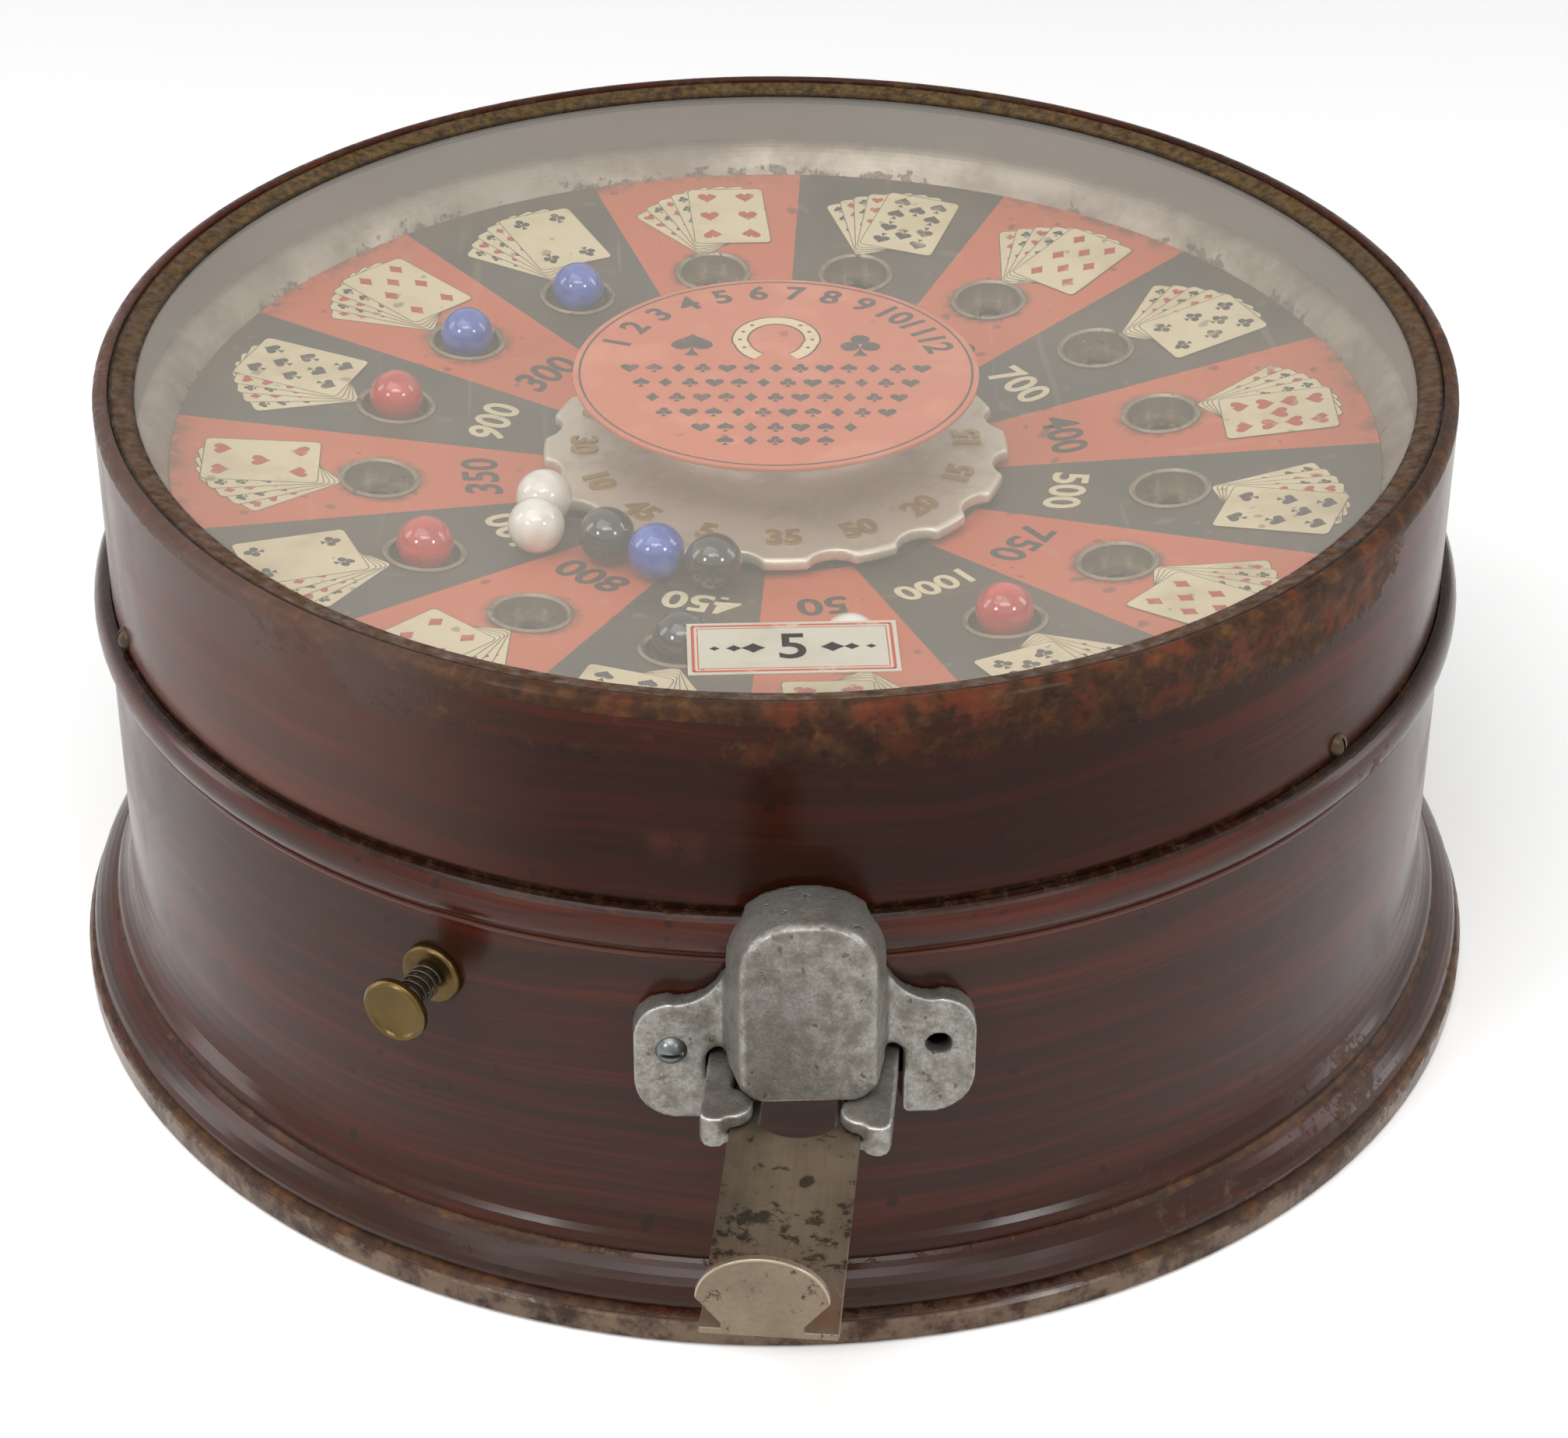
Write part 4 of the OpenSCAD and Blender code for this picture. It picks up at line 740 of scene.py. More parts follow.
class STIMULATOR_OT_stage(bpy.types.Operator):
    """Adds the floor, the lamps, the surrounding light and the camera."""
    bl_idname = "stimulator.stage"
    bl_label = "Stage"

    def lamp(self, name, at, size, power):
        """A soft rectangular lamp aimed at the object."""
        data = bpy.data.lights.new(name, "AREA")
        data.shape, data.size, data.size_y, data.energy = "RECTANGLE", size[0], size[1], power
        made = bpy.data.objects.new(name, data)
        turn = (LAMP_AIM - Vector(at)).to_track_quat("-Z", "Y")
        made.matrix_world = Matrix.Translation(at) @ turn.to_matrix().to_4x4()
        bpy.context.scene.collection.objects.link(made)

    def seen(self, tree):
        """1 for rays that show the surroundings, straight or by reflection or refraction."""
        paths = tree.nodes.new("ShaderNodeLightPath")
        mirrored = calc("MAXIMUM", Wire(paths, "Is Glossy Ray"), Wire(paths, "Is Transmission Ray"))
        return calc("MAXIMUM", Wire(paths, "Is Camera Ray"), mirrored)

    def execute(self, context):
        look, scene = context.scene.stimulator_stage, context.scene
        white = Finish("studio_floor", rgb(250, 250, 249), Roughness=0.85, Specular_IOR_Level=0.1,
                       Emission_Color=(1, 1, 1, 1))
        white.lay(noise(white.place, 3.0, 2.0), rgb(253, 253, 253))
        lift = step(space("LENGTH", white.place, output="Value"), 0.6, 2.6) * 0.5 + look.glow
        white.set(Emission_Strength=self.seen(white.tree) * lift)
        mesh = bpy.data.meshes.new("studio_floor")
        corners = ((-1, -1), (1, -1), (1, 1), (-1, 1))
        mesh.from_pydata([(x * FLOOR_HALF, y * FLOOR_HALF, FLOOR_HEIGHT) for x, y in corners], [],
                         [(0, 1, 2, 3)])
        mesh.materials.append(white.done())
        floor = bpy.data.objects.new("studio_floor", mesh)
        scene.collection.objects.link(floor)

        for name, at, size, power in LAMPS:
            self.lamp(name, at, size, getattr(look, power))

        scene.world = bpy.data.worlds.new("studio")
        scene.world.use_nodes = True
        sky = scene.world.node_tree
        back = sky.nodes["Background"].inputs
        back["Color"].default_value = (1, 1, 1, 1)
        level = {0: self.seen(sky), 2: look.sky, 3: 1.0}
        join(wire(sky, "ShaderNodeMix", level, data_type="FLOAT"), back["Strength"])

        data = bpy.data.cameras.new("camera")
        data.lens, data.sensor_width, data.sensor_fit = look.lens, 36.0, "HORIZONTAL"
        camera = bpy.data.objects.new("camera", data)
        camera.matrix_world = (Matrix.Translation(CAMERA_AT) @ Matrix.Rotation(PHOTO_TURN, 4, "Z")
                               @ Matrix.Rotation(CAMERA_TILT, 4, "X") @ Matrix.Rotation(CAMERA_ROLL, 4, "Z"))
        scene.collection.objects.link(camera)
        scene.camera = camera
        scene.view_settings.view_transform = "Standard"
        return {"FINISHED"}


class STIMULATOR_OT_case(bpy.types.Operator):
    """Finishes the lower case with grained enamel, worn at the hem, the bead and the seam, and painted
    lighter just under the bead.
    """
    bl_idname = "stimulator.case"
    bl_label = "Lower case"

    def execute(self, context):
        edges = ((117.2, 120, 0.4, 0.4), (0, 7.0, 1.0, 0.24), (7.4, 9.0, 0.4, 0.42),
                 (18.2, 19.6, 0.5, 0.34), (9, 22, 12, 0.14))
        patches = ((8, 26, 8, 0.28, -52, 8, 10), (8, 20, 8, 0.2, -128, 14, 14),
                   (8, 24, 8, 0.24, -28, 8, 10), (98, 106, 3, 0.2, -140, 18, 14),
                   (109, 118, 2, 0.36, -18, 20, 14))
        coat, height = enamel("case_enamel", context.scene.stimulator_case, edges, patches)
        hem = band(height, -1, 6.6, 0.6) * step(noise(coat.place, 110.0, 6.0, 0.7), 0.36, 0.62)
        coat.lay(hem, rgb(118, 98, 80), 0.85)
        # Painted light: a lighter band just under the bead, against the shade of the crease there.
        painted_light_under_bead = band(height, 104.6, 106.8, 1.0)
        coat.lay(painted_light_under_bead, rgb(112, 74, 62), 0.4)
        seam_dirt(coat, height)
        dress(coat.done(), "lower_case")
        dress(metal("base_enamel", rgb(46, 34, 28), rgb(72, 54, 44), 0.5, rusty=0.4, metallic=0.2),
              "base_plate")
        dress(metal("screw_steel", rgb(44, 34, 27), rgb(90, 74, 58), 0.42, 600.0, 0.36),
              "seam_screws", "base_screws")
        return {"FINISHED"}


class STIMULATOR_OT_cover(bpy.types.Operator):
    """Finishes the cover band, whose shoulder is rusted along the front and rubbed bare at the left, with
    painted shade across its front and a painted sheen on its left side, and the bezel ring, with painted
    glints along its back half and painted shade along its edges.
    """
    bl_idname = "stimulator.cover"
    bl_label = "Cover band and bezel"

    def execute(self, context):
        edges = ((168.6, 174, 1.4, 0.5), (112, 118.4, 0.6, 0.4))
        patches = ((158, 168, 9, 0.36, -88, 42, 22), (161, 170, 6, 0.2, -62, 26, 10),
                   (148, 158, 9, 0.16, -78, 34, 16), (152, 168, 8, 0.2, -20, 20, 20),
                   (160, 170, 8, 0.12, -150, 26, 16))
        coat, height = enamel("cover_enamel", context.scene.stimulator_case, edges, patches)
        place = coat.place
        red = zone(place, height, 160, 172, 9, -70, 26, 14) * step(noise(place, 85.0, 6.0, 0.65), 0.52, 0.62)
        coat.lay(red, rgb(100, 46, 30), 0.6)
        bare = zone(place, height, 158, 169, 7, -146, 22, 8) * step(noise(place, 40.0, 4.0, 0.6), 0.42, 0.5)
        coat.lay(bare, rgb(60, 52, 48), 0.62)
        # Painted shade: the front of the cover band is darkened, most between 124 and 156 mm up.
        front = zone(place, height, 124, 156, 16, -90, 12, 34)
        coat.lay(front, rgb(30, 14, 8), 0.6)
        # Painted sheen: the left side of the cover band is lightened over its whole height.
        left = window(place, -158, 18, 34)
        coat.lay(left, rgb(122, 96, 88), 0.3)
        smudge = zone(place, height, 134, 135, 6, -99.6, 0.2, 2.6)
        coat.lay(smudge * step(noise(place, 260.0, 5.0, 0.65), 0.3, 0.7), rgb(96, 52, 36), 0.4)
        seam_dirt(coat, height)
        coat.set(Specular_IOR_Level=0.09, Coat_Weight=0.04)
        dress(coat.done(), "cover_band")

        ring = Finish("bezel_metal", rgb(76, 50, 28), Metallic=0.25, Specular_IOR_Level=0.2)
        place = ring.place
        rust = use("Rust", place, Amount=0.62, Scale=320.0)
        ring.lay(rust["Mask"], rust["Color"])
        # Dark flecks and painted gold glints, laid on the back half of the bezel only.
        painted_rear_glints = step(split(place)[1], -0.1, 0.12)
        flakes_and_glints = step(noise(place, 420.0, 6.0, 0.75), 0.34, 0.66)
        ring.lay(painted_rear_glints, mix(flakes_and_glints, rgb(34, 25, 13), rgb(106, 82, 39)), 0.8)
        outer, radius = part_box("bezel_ring")[1].x, from_axis(place)
        # Painted shade: dark lines along the bezel's outer edge and near its inner edge.
        rims = calc("MAXIMUM", step(radius, outer - 1.4 * MM, outer - 0.4 * MM),
                    step(radius, outer - 5.0 * MM, outer - 6.6 * MM))
        ring.lay(rims, rgb(26, 18, 12), 0.75)
        dress(ring.done(step(noise(place, 300.0), 0.1, 0.9), rust["Height"]), "bezel_ring")
        return {"FINISHED"}


class STIMULATOR_OT_glass(bpy.types.Operator):
    """Finishes the glass with a veil of dust and a painted reflection that grows at glancing angles, and the
    hoop and ledge under it.
    """
    bl_idname = "stimulator.glass"
    bl_label = "Glass, hoop and ledge"

    def execute(self, context):
        glass = Finish("clear_glass", rgb(206, 199, 186), Roughness=0.06, IOR=1.5, Specular_IOR_Level=0.6)
        dust = noise(glass.place, 16.0, 5.0, 0.6) * 0.1 + spots(glass.place, 330.0, 0.12) * 0.06
        # Painted reflection: the pale veil of dust grows denser at glancing angles.
        painted_glancing_sheen = wire(glass.tree, "ShaderNodeFresnel", {"IOR": 1.45})
        dust_and_glancing_sheen = calc("ADD", dust + 0.165, painted_glancing_sheen * 0.55, clamp=True)
        inner = wire(glass.tree, "ShaderNodeNewGeometry", output="Backfacing")
        glass.set(Alpha=dust_and_glancing_sheen * (1.0 - inner))
        dress(glass.done(), "glass_top")

        hoop = Finish("hoop_paint", rgb(104, 97, 90), Roughness=0.5)
        rust = use("Rust", hoop.place, Amount=0.22, Scale=300.0)
        hoop.lay(noise(stretch(hoop.place, (1, 1, 6)), 30.0, 5.0, 0.6), rgb(126, 118, 110))
        hoop.lay(rust["Mask"], rust["Color"])
        dress(hoop.done(height=rust["Height"]), "spacer_hoop")
        dress(metal("tinned_sheet", rgb(120, 112, 98), rgb(186, 180, 166), 0.38, 260.0, 0.34, 0.7),
              "shelf_ring", "base_clips", "coin_tray")

        ledge = Finish("ledge_tin", rgb(156, 145, 130), Metallic=0.5)
        low = step(from_axis(ledge.place), FIELD_EDGE.x + 5 * MM, FIELD_EDGE.x)
        rust = use("Rust", ledge.place, Scale=300.0, Amount=low * 0.3 + 0.26)
        cloud = step(noise(ledge.place, 48.0, 6.0, 0.65), 0.34, 0.7)
        ledge.lay(cloud, rgb(120, 107, 93))
        ledge.lay(rust["Mask"], rust["Color"], 0.7)
        dress(ledge.done(cloud * 0.18 + 0.34, rust["Height"]), "playfield_pan")
        return {"FINISHED"}


class STIMULATOR_OT_field(bpy.types.Operator):
    """Prints the wedges of the field by angle, with dirt round the pockets."""
    bl_idname = "stimulator.field"
    bl_label = "Printed field"

    def execute(self, context):
        look = context.scene.stimulator_field
        field = Finish("field_print", (*look.red, 1), Specular_IOR_Level=0.4)
        place = field.place
        radius, angle, away = round_pockets(place)
        pair = calc("MODULO", wedge_number(angle, FIRST_WEDGE + PRINT_TURN), 2.0)
        field.lay(calc("GREATER_THAN", pair, 1.0), (*look.black, 1))
        fade = step(noise(place, 30.0, 5.0, 0.6), 0.35, 0.75)
        field.lay(fade, rgb(176, 132, 108), 0.16)
        field.lay(use("Scratches", place, Scale=14.0)["Mask"], rgb(196, 176, 150), 0.12)
        ring = step(away, 13.8 * MM, 10.4 * MM) * step(noise(place, 190.0, 5.0, 0.7), 0.34, 0.62)
        field.lay(ring, rgb(74, 60, 46), 0.8)
        field.lay(spots(place, 150.0, 0.46), rgb(74, 50, 38), 0.6)
        edge = step(radius, 150 * MM, 157 * MM) * step(noise(place, 120.0, 5.0, 0.7), 0.4, 0.6)
        field.lay(edge, rgb(96, 64, 46), 0.75)
        dress(field.done(fade * 0.2 + 0.42, noise(place, 620.0), 0.005 * MM), "printed_field")

        cups = Finish("pocket_tin", rgb(98, 84, 66), Metallic=0.65)
        place = cups.place
        rust = use("Rust", place, Amount=0.48, Scale=420.0)
        away = round_pockets(place)[2]
        cups.lay(noise(place, 130.0, 5.0, 0.7), rgb(174, 160, 138))
        deep = step(away, 8.5 * MM, 4 * MM) * step(noise(place, 260.0, 5.0, 0.7), 0.3, 0.6)
        cups.lay(deep, rgb(50, 36, 26), 0.9)
        cups.lay(rust["Mask"], rust["Color"], 0.7)
        dress(cups.done(rust["Mask"] * 0.35 + 0.3, rust["Height"]), "pocket_cups")
        return {"FINISHED"}


class STIMULATOR_OT_numbers(bpy.types.Operator):
    """Lays a plain number on each wedge, with its head outwards."""
    bl_idname = "stimulator.numbers"
    bl_label = "Field numbers"

    def execute(self, context):
        look = context.scene.stimulator_field
        dark, light = Art(), Art()
        for k, number in enumerate(FIELD_NUMBERS):
            art = light if k % 2 else dark
            art.place = on_field(NUMBER_CIRCLE, k, PRINT_LIFT)
            size = look.number_size * (0.86 if number > 999 else 1.0)
            art.figures(str(number), size, look.number_size * 0.025)
        cream = ink("cream_ink", (*look.cream, 1), rgb(120, 112, 92))
        light.finish("light_numbers", "case", cream, "field_print")
        black = ink("black_ink", rgb(38, 36, 33), rgb(150, 70, 52))
        dark.finish("dark_numbers", "case", black, "field_print")
        return {"FINISHED"}


class STIMULATOR_OT_cards(bpy.types.Operator):
    """Lays a fan of five pip cards on the outer part of each wedge."""
    bl_idname = "stimulator.cards"
    bl_label = "Card fans"

    def execute(self, context):
        look = context.scene.stimulator_field
        width, height = look.card_width, look.card_height
        line, corner, hub = 0.5 * MM, 1.6 * MM, Vector((5 * MM, -17 * MM))
        sheets, rims, reds, blacks = (Art() for _ in range(4))
        for k, value in enumerate(TOP_CARDS):
            turns = (34, 25, 16, 7, -3) if k % 3 else (30, 22, 14, 6, -5)
            for i, degrees in enumerate(turns):
                turn, lift, on_top = math.radians(degrees), PRINT_LIFT + 0.05 * MM * i, i == 4
                spin = Matrix.Rotation(turn, 2)
                centre = hub + spin @ Vector((0.6 * MM, height * 0.5 + 1 * MM))
                rims.place = on_field(CARD_CIRCLE, k, lift)
                rims.patch(moved(card(width, height, corner), centre, turn), 3)
                sheets.place = on_field(CARD_CIRCLE, k, lift + 0.015 * MM)
                sheets.patch(moved(card(width - line, height - line, corner - 0.2 * MM), centre, turn), 3)
                kind = SUITS[(k * 3 + i) % 4]
                art = reds if kind in ("heart", "diamond") else blacks
                art.place = on_field(CARD_CIRCLE, k, lift + 0.03 * MM)
                shown = pips(value) if on_top else [(-0.36, 0.38), (-0.36, 0.2), (-0.36, -0.02)]
                for x, y in shown:
                    at = centre + spin @ Vector((x * width, y * height))
                    upset = math.pi if on_top and y < -0.01 else 0
                    art.suit(kind, 5.4 * MM if on_top else 3.4 * MM, at, turn + upset)
        for art, name, finish in (
                (sheets, "card_faces", paper("card_paper", (*look.cream, 1), rgb(176, 150, 104), 0.45)),
                (rims, "card_edges", ink("card_line", rgb(88, 72, 56), rgb(160, 140, 110))),
                (reds, "red_pips", ink("red_ink", rgb(176, 58, 46), rgb(206, 178, 140), 0.7)),
                (blacks, "black_pips", ink("pip_ink", rgb(40, 38, 36), rgb(176, 158, 126), 0.65))):
            art.finish(name, "case", finish, "field_print")
        return {"FINISHED"}


class STIMULATOR_OT_marbles(bpy.types.Operator):
    """Finishes the marbles as opaque coloured glass."""
    bl_idname = "stimulator.marbles"
    bl_label = "Marbles"

    def execute(self, context):
        dress(marble_glass("red_glass", rgb(176, 34, 30), rgb(206, 60, 50)), "red_marbles")
        dress(marble_glass("blue_glass", rgb(40, 72, 168), rgb(74, 108, 192)),
              "blue_marbles", "loose_blue_marble")
        dress(marble_glass("black_glass", rgb(22, 27, 24), rgb(38, 45, 41)),
              "black_marbles", "loose_black_marbles")
        dress(marble_glass("white_glass", rgb(226, 220, 206), rgb(240, 237, 229)),
              "white_marbles", "loose_white_marbles")
        return {"FINISHED"}


class STIMULATOR_OT_wheel(bpy.types.Operator):
    """Casts the scalloped wheel with soft edges and lays raised gilt numbers on its rim."""
    bl_idname = "stimulator.wheel"
    bl_label = "Wheel"

    def execute(self, context):
        pale = Finish("wheel_casting", rgb(202, 190, 170), Metallic=0.45)
        cast = use("Cast skin", pale.place, Scale=520.0)
        rust = use("Rust", pale.place, Amount=0.26, Scale=300.0)
        worn = wire(pale.tree, "ShaderNodeAttribute", output="Fac", attribute_name="edge")
        pale.lay(cast["Stain"], rgb(160, 146, 124), 0.7)
        # Painted highlight: the edges that stand out are lightened.
        pale.lay(step(worn, 0.15, 0.7), rgb(222, 213, 196))
        pale.lay(rust["Mask"], rust["Color"])
        finish = pale.done(cast["Stain"] * 0.15 + 0.42, cast["Height"], strength=0.6)
        points = casting("wheel", "wheel_body", "wheel", finish, 0.8 * MM, 2)

        top = max(p.z for p in points if 48 * MM < p.xy.length < 52 * MM)
        upper, lower = Art(), Art()
        for k, number in enumerate(WHEEL_NUMBERS):
            for art, height in ((lower, top + 0.02 * MM), (upper, top + 0.55 * MM)):
                def place(x, y):
                    radius = WHEEL_NUMBER_CIRCLE - y
                    return polar(radius, k * WEDGE + x / radius, height)
                art.place = place
                art.figures(str(number), 9.5 * MM, 0.28 * MM)
        count = len(upper.points)
        edges = dict.fromkeys(pair for face in upper.faces for pair in zip(face, face[1:] + face[:1]))
        walls = [(a + count, b + count, b, a) for a, b in edges if (b, a) not in edges]
        gilt = metal("gilt_paint", rgb(120, 92, 40), rgb(196, 160, 82), 0.4, 500.0, 0.22, 0.6)
        piece("wheel_numbers", upper.points + lower.points, upper.faces + walls, "wheel", gilt,
              smooth=False)
        return {"FINISHED"}


class STIMULATOR_OT_sign(bpy.types.Operator):
    """Prints the round sign: an arc of figures, a horseshoe between two suits and rows of small suits."""
    bl_idname = "stimulator.sign"
    bl_label = "Sign disc"

    def execute(self, context):
        card_red = Finish("sign_print", rgb(203, 114, 84), Specular_IOR_Level=0.4)
        place = card_red.place
        blot = step(noise(place, 55.0, 4.0, 0.55), 0.5, 0.66)
        card_red.lay(blot, rgb(222, 156, 130), 0.4)
        card_red.lay(spots(place, 170.0, 0.14), rgb(110, 56, 42), 0.5)
        dress(card_red.done(blot * 0.15 + 0.45, noise(place, 600.0, 3.0), 0.04 * MM), "sign_disc")
        soften("sign_disc", 0.2 * MM)

        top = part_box("sign_disc")[1].z
        upright = Matrix.Rotation(PHOTO_TURN, 2)

        def layer(lift):
            return lambda x, y: (*(upright @ Vector((x, y))), top + lift)

        black, cream, nails = Art(layer(0.04 * MM)), Art(layer(0.06 * MM)), Art(layer(0.08 * MM))
        for i in range(12):
            a = math.radians(160 - 140 * i / 11)
            at = polar(SIGN_NUMBER_CIRCLE, a, 0)[:2]
            black.figures(str(i + 1), 10.5 * MM, 0.3 * MM, at, a - math.pi / 2)
        ring = circle(SIGN_LINE_CIRCLE, 120)
        black.strip(ring + ring[:1], 0.6 * MM)
        black.suit("spade", 12 * MM, (-22 * MM, 14 * MM))
        black.suit("club", 12 * MM, (22 * MM, 14 * MM))
        shoe = []
        for degrees in range(-150, 151, 6):
            a, pinch = math.radians(degrees), 1 if abs(degrees) < 100 else 0.96
            shoe.append((9.5 * MM * math.sin(a) * pinch, 17 * MM + 11 * MM * math.cos(a)))
        black.strip(shoe, 4.6 * MM)
        cream.strip(shoe, 3.6 * MM)
        for at in shoe[6:20:4] + shoe[-7:-21:-4]:
            nails.patch(circle(0.55 * MM, 10, at))
        for row, (count, y) in enumerate(SIGN_ROWS):
            for i in range(count):
                at = ((i - (count - 1) / 2) * 6.3 * MM, y * MM)
                black.suit(SUITS[(i + row) % 4], 4.8 * MM, at)
        dark = ink("sign_ink", rgb(46, 40, 38), rgb(170, 92, 76), 0.4)
        black.finish("sign_figures", "wheel", dark, "sign_print")
        nails.finish("sign_nails", "wheel", dark, "sign_print")
        light = ink("sign_cream", rgb(226, 206, 170), rgb(214, 130, 104), 0.5)
        cream.finish("sign_horseshoe", "wheel", light, "sign_print")
        return {"FINISHED"}


class STIMULATOR_OT_label(bpy.types.Operator):
    """Lays the paper label on the glass: a thin red border and one plain figure between small diamonds."""
    bl_idname = "stimulator.label"
    bl_label = "Paper label"

    def execute(self, context):
        dress(paper("label_paper", rgb(188, 182, 167), rgb(162, 152, 130), 0.25), "price_label")
        low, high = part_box("price_label")
        middle, half = (low + high) / 2, (high - low) / 2

        def flat(x, y):
            return (middle.x + x, middle.y + y, high.z + 0.03 * MM)

        red, black = Art(flat), Art(flat)
        for inset, width in ((1.3 * MM, 0.7 * MM), (2.4 * MM, 0.25 * MM)):
            x, y = half.x - inset, half.y - inset
            corners = ((-x, -y), (x, -y), (x, y), (-x, y))
            for pair in zip(corners, corners[1:] + corners[:1]):
                red.strip(pair, width)
        black.figures("5", 15 * MM, 0.2 * MM)
        for side in (-1, 1):
            for i, size in enumerate((5.5, 3.6, 2.4)):
                black.suit("diamond", size * MM, (side * (9 + 4.4 * i) * MM, 0), math.pi / 2)
        border = ink("label_red", rgb(178, 92, 74), rgb(214, 196, 170), 0.6)
        red.finish("label_border", "case", border, "label_paper")
        figure = ink("label_black", rgb(44, 40, 37), rgb(150, 140, 122), 0.4)
        black.finish("label_figure", "case", figure, "label_paper")
        return {"FINISHED"}


class STIMULATOR_OT_chute(bpy.types.Operator):
    """Casts the coin chute and the slide's bed with soft edges, painted highlights along them, and pitted
    faces.
    """
    bl_idname = "stimulator.chute"
    bl_label = "Coin chute"

    def execute(self, context):
        grey = Finish("chute_casting", rgb(153, 150, 143), Metallic=0.8)
        place = grey.place
        cast = use("Cast skin", place, Scale=800.0)
        rust = use("Rust", place, Amount=0.18, Scale=420.0)
        worn = wire(grey.tree, "ShaderNodeAttribute", output="Fac", attribute_name="edge")
        sand = step(noise(place, 1500.0, 3.0, 0.6), 0.38, 0.62)
        mottle = step(noise(place, 260.0, 6.0, 0.7), 0.36, 0.66)
        bright = step(worn, 0.24, 0.85)
        grey.lay(mottle, rgb(116, 112, 104))
        grey.lay(sand, rgb(94, 92, 87), 0.35)
        grey.lay(cast["Stain"], rgb(96, 88, 76), 0.4)
        grey.lay(cast["Pits"], rgb(66, 62, 56), 0.6)
        # Painted highlight: the edges that stand out are lightened.
        grey.lay(bright, rgb(206, 206, 204))
        grey.lay(step(worn, -0.15, -0.7), rgb(76, 68, 58))
        grey.lay(rust["Mask"], rust["Color"], 0.55)
        gloss = mottle * 0.14 + 0.38 - bright * 0.12
        finish = grey.done(gloss, cast["Height"], 0.3 * MM, 0.7)
        casting("chute_cover", "chute_shell", "case", finish, 0.6 * MM, 4, 40)
        casting("slide_bed", "slide_claws", "case", finish, 0.6 * MM, 3, 6)
        dress(metal("plated_screw", rgb(66, 68, 68), rgb(138, 142, 142), 0.26, 700.0, 0.22), "chute_screw")
        return {"FINISHED"}


class STIMULATOR_OT_slide(bpy.types.Operator):
    """Finishes the coin slide: worn nickel with black spots, rusty towards the thumb tab."""
    bl_idname = "stimulator.slide"
    bl_label = "Coin slide"

    def execute(self, context):
        blade = Finish("blade_nickel", rgb(112, 98, 82), Metallic=0.8)
        place = blade.place
        straight = wire(blade.tree, "ShaderNodeVectorRotate", {
            "Vector": place, "Center": SLIDE_PIVOT, "Axis": (0, 0, 1), "Angle": SLIDE_LEAN},
            rotation_type="AXIS_ANGLE")
        out = split(straight)[1]
        grain = noise(stretch(straight, (900, 40, 900)), 1.0, 4.0, 0.6)
        blade.lay(grain, rgb(136, 122, 104))
        blade.lay(step(noise(straight, 60.0, 5.0, 0.6), 0.42, 0.7), rgb(90, 78, 64), 0.45)
        blush = step(out, -238 * MM, -258 * MM) * step(out, -269.5 * MM, -266 * MM)
        blade.lay(blush * step(noise(straight, 70.0), 0.36, 0.66), rgb(146, 88, 62), 0.6)
        near = step(out, -225 * MM, -262 * MM)
        rust = use("Rust", place, Scale=360.0, Amount=near * 0.24 + 0.22)
        blade.lay(rust["Mask"], rust["Color"])
        middle = step(out, -215 * MM, -238 * MM) * step(out, -262 * MM, -248 * MM)
        soot = step(noise(straight, 170.0, 6.0, 0.75) + middle * 0.08, 0.58, 0.66)
        dark = calc("MAXIMUM", spots(place, 130.0, 0.3), soot) * step(out, -266.5 * MM, -262 * MM)
        blade.lay(dark, rgb(38, 33, 28), 0.8)
        dress(blade.done(rust["Mask"] * 0.3 + 0.34, rust["Height"] + grain * 0.2), "slide_blade")
        soften("slide_blade", 0.3 * MM)

        turn = Matrix.Translation(SLIDE_PIVOT) @ Matrix.Rotation(-SLIDE_LEAN, 4, "Z")
        middle, front, foot = -1.4 * MM, -94.1 * MM, 84.4 * MM
        half, rise, thick = 14.2 * MM, 11.3 * MM, 0.38 * MM
        rings, steps = [], 40
        for i in range(steps + 1):
            a = math.pi * i / steps
            rim = Vector((middle + half * math.cos(a), front, foot + rise * math.sin(a)))
            rings.append((rim, thick * (0.35 + 0.65 * math.sin(a) ** 0.5),
                          Vector((math.cos(a), 0, math.sin(a))), Vector((0, 1, 0))))
        points, faces = tube(rings, 10)
        bright = metal("tab_edge", rgb(120, 106, 88), rgb(186, 174, 152), 0.3, 500.0, 0.26)
        piece("tab_lip", [turn @ p for p in points], faces, "slide", bright)
        return {"FINISHED"}


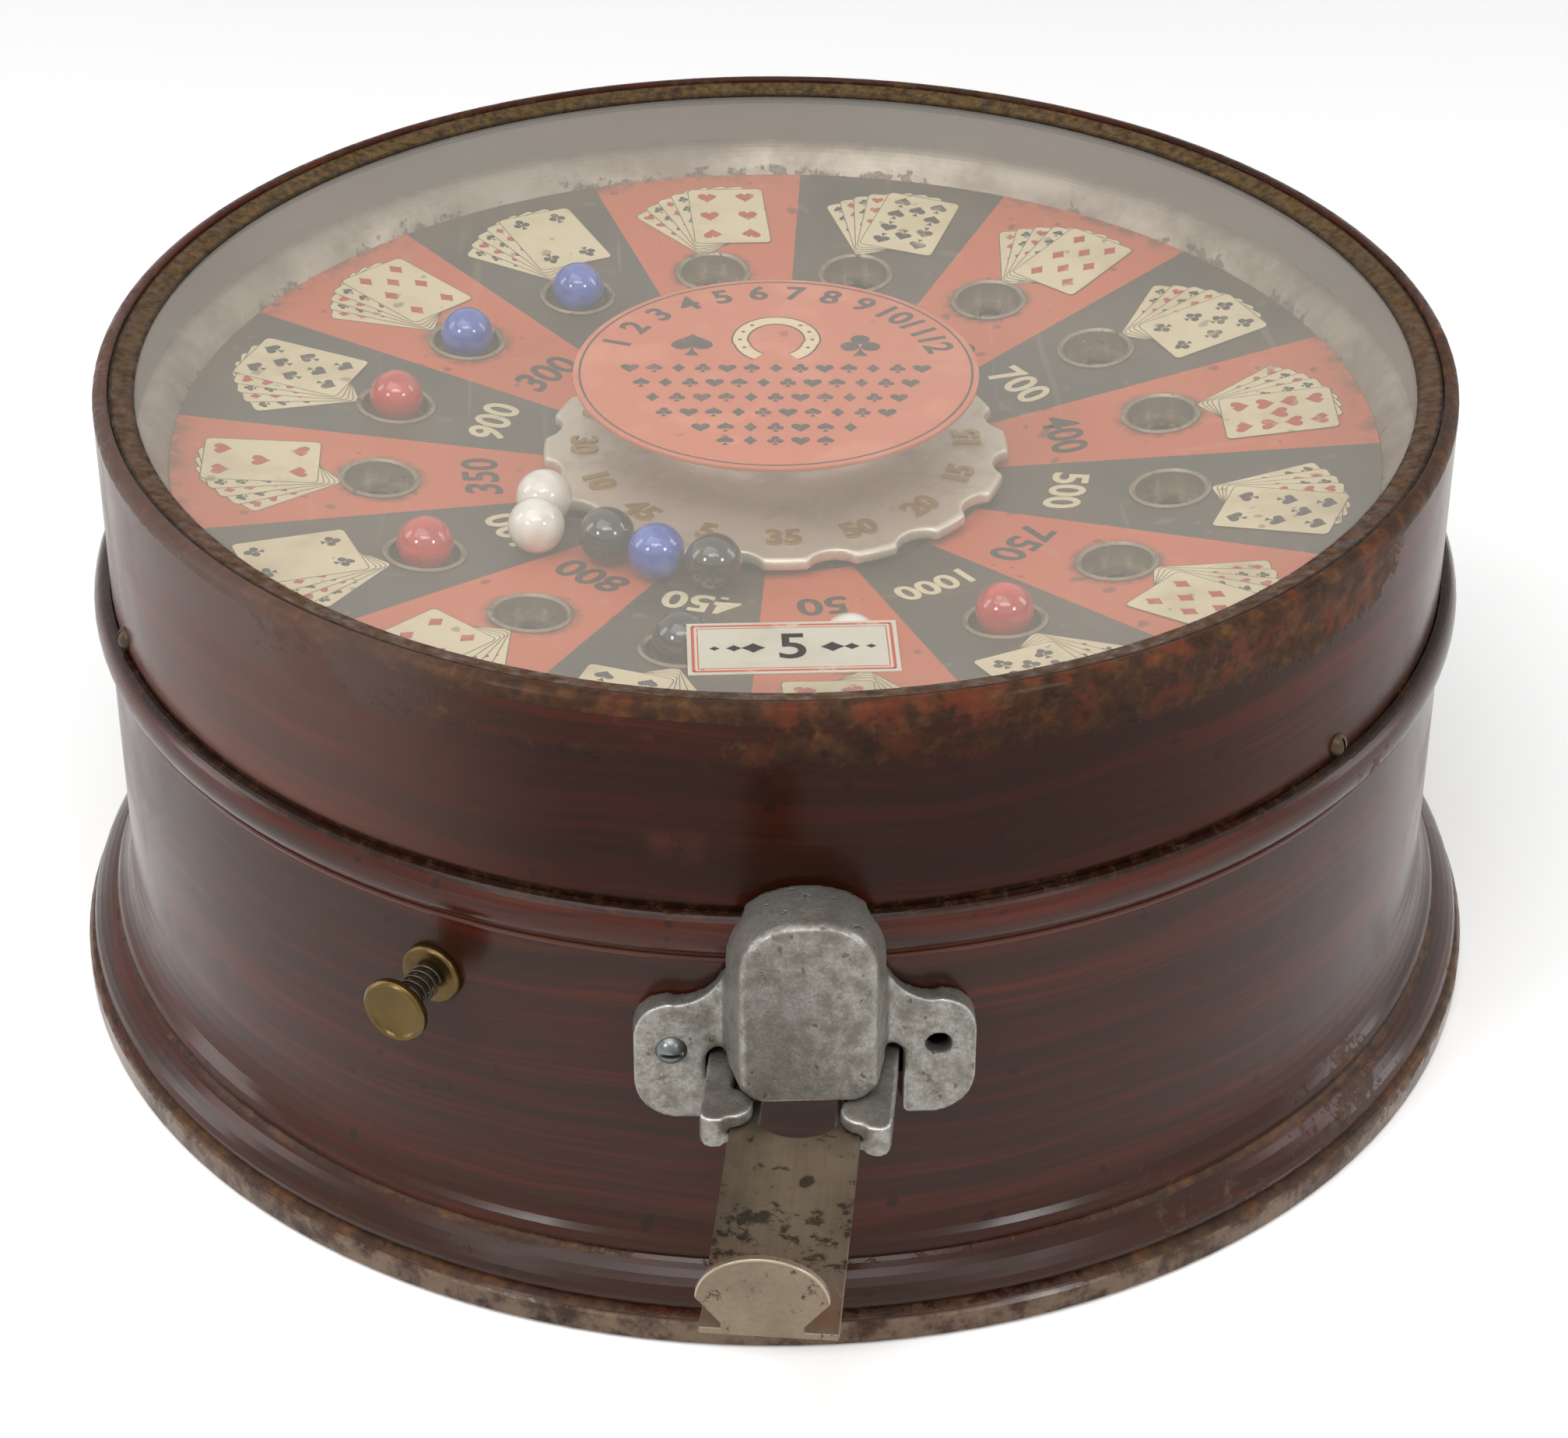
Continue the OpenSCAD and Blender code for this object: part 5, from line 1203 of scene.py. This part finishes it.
class STIMULATOR_OT_plunger(bpy.types.Operator):
    """Finishes the brass plunger and winds its return spring."""
    bl_idname = "stimulator.plunger"
    bl_label = "Plunger"

    def execute(self, context):
        look = context.scene.stimulator_plunger
        brass = metal("aged_brass", rgb(58, 46, 26), rgb(116, 94, 54), 0.3, 500.0, 0.2, 0.9)
        dress(brass, "plunger_knob", "plunger_bush")
        soften("plunger_knob", 0.25 * MM)
        soften("plunger_bush", 0.2 * MM)
        dress(metal("rod_steel", rgb(70, 64, 54), rgb(132, 124, 108), 0.35, 500.0, 0.2), "plunger_rod")

        out = Vector((math.sin(PLUNGER_TURN), -math.cos(PLUNGER_TURN), 0))
        side, up = Vector((math.cos(PLUNGER_TURN), math.sin(PLUNGER_TURN), 0)), Vector((0, 0, 1))
        axis = up * PLUNGER_HEIGHT
        room = look.wire + 0.1 * MM
        first, last, steps = SPRING_SEAT + room, SPRING_HEAD - room, 36 * look.curls
        rings = []
        for i in range(steps + 1):
            t = i / steps
            a = math.tau * look.curls * t
            spread = side * math.cos(a) + up * math.sin(a)
            middle = axis + spread * look.coil + out * (first + (last - first) * t)
            rings.append((middle, look.wire, spread, out))
        points, faces = tube(rings, 12)
        steel = metal("spring_steel", rgb(34, 29, 25), rgb(84, 74, 62), 0.36, 900.0, 0.3)
        spring = piece("spring_coil", points, faces, "plunger", steel, ("plunger_spring",))
        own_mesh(spring)
        return {"FINISHED"}


class STIMULATOR_OT_works(bpy.types.Operator):
    """Finishes the works inside the case."""
    bl_idname = "stimulator.works"
    bl_label = "Inner works"

    def execute(self, context):
        dress(metal("bracket_steel", rgb(84, 82, 78), rgb(140, 137, 130), 0.4, 260.0, 0.24),
              "bridge", "slide_bracket", "guide_posts", "post_collars", "rack_guide", "ejector_plate",
              "ejector_pins", "pawl_carrier", "wheel_shaft", "pawl", "pawl_pin", "rack_bar", "rack_pin",
              "lift_ramp", "ramp_rivets", "roller_pin", "sign_studs")
        dress(metal("works_screw", rgb(58, 52, 45), rgb(120, 112, 98), 0.4, 600.0, 0.3),
              "bridge_screws", "bracket_screws", "carrier_screw", "plunger_nut", "chute_nut")
        dress(metal("bearing_brass", rgb(120, 92, 44), rgb(186, 152, 88), 0.32, 500.0, 0.12),
              "upper_bush", "bush_nut", "step_bearing", "drive_pinion", "follower_roller")
        return {"FINISHED"}


class STIMULATOR_PT_panel(bpy.types.Panel):
    """Lists the settings and the operators."""
    bl_idname = "STIMULATOR_PT_panel"
    bl_label = "Trade stimulator"
    bl_space_type = "VIEW_3D"
    bl_region_type = "UI"
    bl_category = "Stimulator"

    def draw(self, context):
        for key, title, kind in SETTINGS:
            box = self.layout.box()
            box.label(text=title)
            for field in kind.__annotations__:
                box.prop(getattr(context.scene, key), field)
        for operator in OPERATORS:
            self.layout.operator(operator.bl_idname)


SETTINGS = (("stimulator_case", "Case", CaseLook), ("stimulator_field", "Field", FieldLook),
            ("stimulator_plunger", "Plunger", PlungerLook), ("stimulator_stage", "Stage", StageLook))
OPERATORS = (STIMULATOR_OT_stage, STIMULATOR_OT_case, STIMULATOR_OT_cover, STIMULATOR_OT_glass,
             STIMULATOR_OT_field, STIMULATOR_OT_numbers, STIMULATOR_OT_cards, STIMULATOR_OT_marbles,
             STIMULATOR_OT_wheel, STIMULATOR_OT_sign, STIMULATOR_OT_label, STIMULATOR_OT_chute,
             STIMULATOR_OT_slide, STIMULATOR_OT_plunger, STIMULATOR_OT_works)


def register():
    """Registers the settings, the operators and the panel."""
    for key, _, kind in SETTINGS:
        bpy.utils.register_class(kind)
        setattr(bpy.types.Scene, key, bpy.props.PointerProperty(type=kind))
    for kind in (*OPERATORS, STIMULATOR_PT_panel):
        bpy.utils.register_class(kind)


def unregister():
    """Takes back what register() added."""
    for kind in (STIMULATOR_PT_panel, *reversed(OPERATORS)):
        bpy.utils.unregister_class(kind)
    for key, _, kind in reversed(SETTINGS):
        delattr(bpy.types.Scene, key)
        bpy.utils.unregister_class(kind)


def main():
    """Builds the whole scene."""
    register()
    make_effects()
    bpy.ops.stimulator.stage()
    bpy.ops.stimulator.case()
    bpy.ops.stimulator.cover()
    bpy.ops.stimulator.glass()
    bpy.ops.stimulator.field()
    bpy.ops.stimulator.numbers()
    bpy.ops.stimulator.cards()
    bpy.ops.stimulator.marbles()
    bpy.ops.stimulator.wheel()
    bpy.ops.stimulator.sign()
    bpy.ops.stimulator.label()
    bpy.ops.stimulator.chute()
    bpy.ops.stimulator.slide()
    bpy.ops.stimulator.plunger()
    bpy.ops.stimulator.works()


if __name__ == "__main__":
    main()
